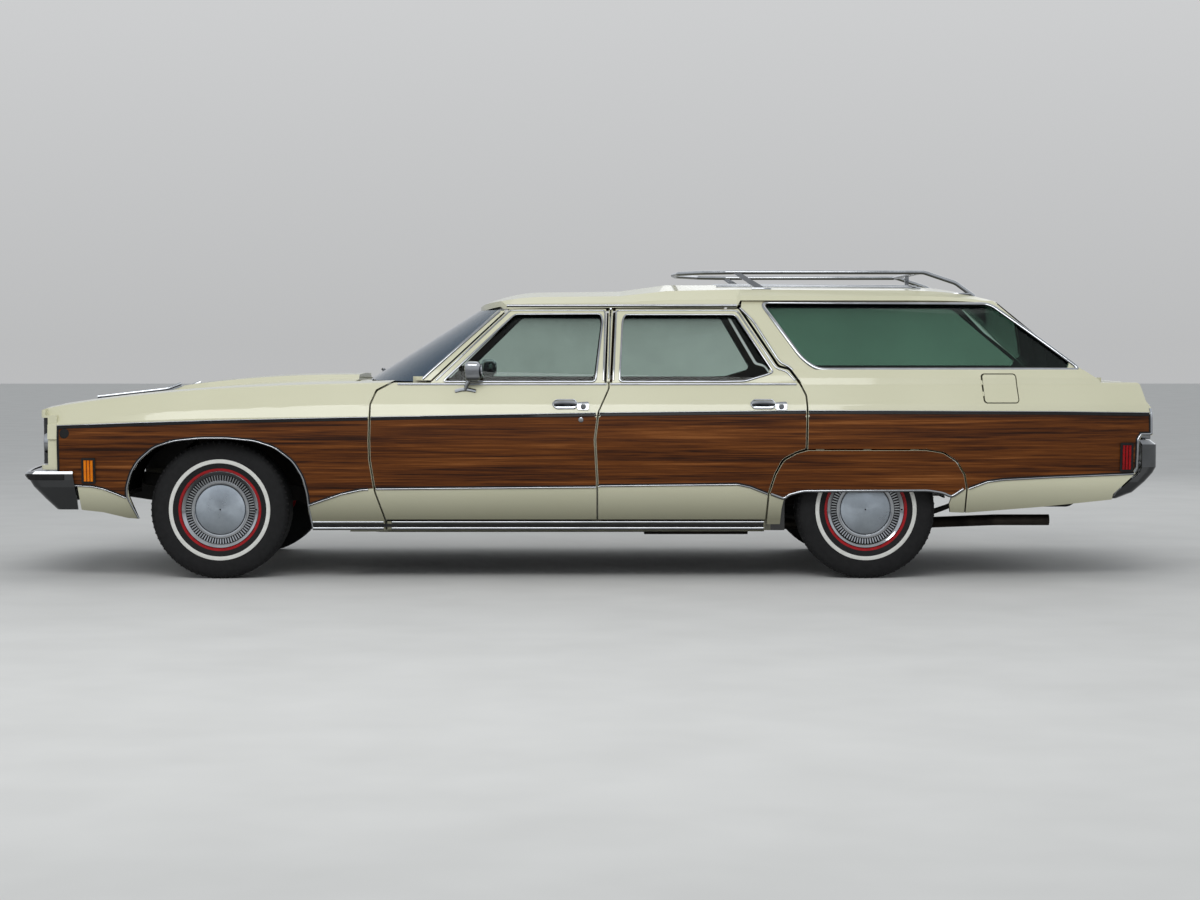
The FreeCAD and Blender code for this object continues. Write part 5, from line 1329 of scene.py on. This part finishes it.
def bench(tag, x, depth, base_x, foot):
    """Sewn cushion and back over a vinyl base and two vinyl sides."""
    back = x + depth
    name = "bench_" + tag
    half = depth / 2 + 0.005
    seat = pad(name + "_cushion", (x + half, 0, 0.490), (half, 0.672, 0.070), 0.042, 0.014, 4, (14, 168, 8))
    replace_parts(seat, "seat_" + tag)
    pad(name + "_back", (back + 0.108, 0, 0.765), (0.232, 0.672, 0.062), 0.045, 0.012, -78.5, (18, 168, 8))
    block(name + "_base", (x + 0.04, -0.640, 0.317), (base_x, 0.640, 0.425), BROWN_VINYL, "car_body", 0.01)
    side_line = [
        (x + 0.05, 0.40), (x + 0.04, 0.47), (back - 0.02, 0.50), (back + 0.10, 0.93), (back + 0.17, 0.93),
        (back + 0.13, 0.62), foot,
    ]
    for side_name, side in SIDES:
        y0, y1 = side * 0.650, side * 0.6745
        extrude(name + "_side_" + side_name, side_line, y0, y1, BROWN_VINYL, "car_body", 0.006)


def dashboard():
    """Walnut face and glovebox, dark cluster with its dials, and radio."""
    face = [(-0.792, 0.888), (-0.7865, 0.888), (-0.7965, 0.806), (-0.802, 0.806)]
    cluster = [(-0.789, 0.884), (-0.7825, 0.882), (-0.7925, 0.812), (-0.799, 0.810)]
    radio = [(-0.790, 0.872), (-0.7805, 0.871), (-0.7885, 0.822), (-0.798, 0.822)]
    glovebox = [(-0.7905, 0.876), (-0.7845, 0.875), (-0.7925, 0.818), (-0.799, 0.818)]
    knob = [(0.0, 0.762), (0.009, 0.762), (0.011, 0.766), (0.012, 0.788), (0.0, 0.788)]
    extrude("dash_wood", face, -0.71, 0.71, WOOD, "car_body", 0.002)
    extrude("dash_cluster", cluster, -0.62, -0.15, BLACK_TRIM, "car_body", 0.002, "dash_brown")
    extrude("radio", radio, -0.10, 0.10, DULL_CHROME, "car_body", 0.003)
    extrude("glovebox", glovebox, 0.24, 0.66, WOOD, "car_body", 0.003)
    for k, y in enumerate((-0.085, 0.085)):
        front_lathe("radio_knob_%d" % k, knob, y, 0.847, CHROME, "car_body", 20)
    for k, (y, r) in enumerate(((-0.54, 0.024), (-0.46, 0.032), (-0.31, 0.032), (-0.23, 0.024))):
        ring = [(0.0, 0.7875), (r - 0.003, 0.7875), (r, 0.784), (r + 0.002, 0.7835), (r + 0.002, 0.792)]
        ring += [(0.0, 0.792)]
        dial = [(0.0, 0.7868), (r - 0.004, 0.7868), (r - 0.004, 0.790), (0.0, 0.790)]
        front_lathe("dial_%d" % k, ring, y, 0.847, DULL_CHROME, "car_body", 32)
        front_lathe("dial_face_%d" % k, dial, y, 0.847, HEADLINER, "car_body", 32, "")


def inside_mirror():
    """Mirror on a stalk at the head of the screen."""
    block("inside_mirror", (-0.545, -0.12, 1.238), (-0.530, 0.12, 1.292), BLACK_TRIM, "car_body", 0.006, 3)
    lo, hi = (-0.5302, -0.114, 1.244), (-0.5285, 0.114, 1.286)
    block("inside_mirror_glass", lo, hi, MIRROR, "car_body", 0.0005)
    stalk = [(-0.54, 0, 1.285), (-0.55, 0, 1.31), (-0.53, 0, 1.34)]
    tube("inside_mirror_stalk", stalk, 0.006, CHROME, "car_body", 10)


def sun_visor(flank):
    lo, hi = (-0.50, flank.side * 0.36 - 0.20, 1.312), (-0.36, flank.side * 0.36 + 0.20, 1.326)
    block("visor" + flank.name, lo, hi, HEADLINER, "car_body", 0.006, 3)


def steering_wheel():
    """Thin rim, two spokes, horn ring and boss."""
    axis = Vector((0.906, 0, 0.423)).normalized()
    hub = Vector((-0.580, -0.385, 0.872))
    across = Vector((0, 1, 0))
    upright = axis.cross(across).normalized()

    def spoke_way(turn):
        return across * math.cos(turn) + upright * math.sin(turn)

    path = [hub + spoke_way(2 * math.pi * k / 72) * 0.196 for k in range(72)]
    rim = sweep("steering_rim", path, [axis] * 72, circle(0.0118, 12), DASH, "steering_wheel", True)
    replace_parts(rim, "steering_wheel")
    mid = hub - axis * 0.010
    for k, degrees in enumerate((-8, 188)):
        d = spoke_way(math.radians(degrees))
        line = [mid, mid + d * 0.10 - axis * 0.004, hub + d * 0.19]
        tube("steering_spoke_%d" % k, line, 0.008, DULL_CHROME, "steering_wheel", 10)
    ring = [hub + spoke_way(math.radians(188 + 164 * k / 32)) * 0.13 - axis * 0.004 for k in range(33)]
    tube("horn_ring", ring, 0.004, CHROME, "steering_wheel", 8)
    boss = block("steering_boss", (-0.03, -0.055, -0.03), (0.012, 0.055, 0.03), DASH, None, 0.012, 3)
    boss.matrix_world = Matrix.Translation(hub) @ Matrix((axis, across, upright)).transposed().to_4x4()
    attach(boss, "steering_wheel")


def roof_rack():
    """Luggage slats on the roof and feet of the rack."""
    tree = tree_of("roof")
    for k, y in enumerate((-0.40, -0.24, -0.08, 0.08, 0.24, 0.40)):
        found = [hit_down(tree, 0.66 + 1.06 * i / 23, y) for i in range(24)]
        sweep_on("roof_slat_%d" % k, found, bead(0.022, 0.008), CHROME, "car_body")
    half = Vector((0.05, 0.014, 0.006))
    for side_name, side in SIDES:
        for k, x in enumerate((0.885, 1.905)):
            p = hit_down(tree, x, side * 0.55)[0]
            block("rack_foot_%d_%s" % (k, side_name), p - half, p + half, CHROME, "car_body", 0.004)


# What the left and the right side share.
ON_EACH_SIDE = (
    wood_panels, wood_strips, arch_strips, housing_lining, sill_strips, door_handles, marker_lamps,
    window_trims, door_mirror, tail_lamp, headlamps, hood_rail, wiper, sun_visor,
)
for side_name, side in SIDES:
    flank = Flank(side_name, side)
    for dress in ON_EACH_SIDE:
        dress(flank)
    wheel(flank, "front", FRONT_AXLE)
    wheel(flank, "rear", REAR_AXLE)
    door_lining(flank, "front", FRONT_LINING, -0.62, -0.12)
    door_lining(flank, "rear", REAR_LINING, 0.30, 0.80)
gate_panel()
gate_trims()
block("number_plate", (2.8925, -0.155, 0.512), (2.8955, 0.155, 0.662), PLATE, "car_body", 0.0008)
corner_x = [-2.602 - 0.198 * k / 8 for k in range(9)]
bumper_strip("bumper_strip_front", "bumper_front", 0.5125, -1, 0.90, corner_x)
bumper_strip("bumper_strip_rear", "bumper_rear", 0.615, 1, 0.86)
headliner()
bench("front", -0.430, 0.430, -0.020, (0.10, 0.40))
bench("middle", 0.560, 0.378, 0.858, (0.938, 0.50))
dashboard()
inside_mirror()
steering_wheel()
roof_rack()
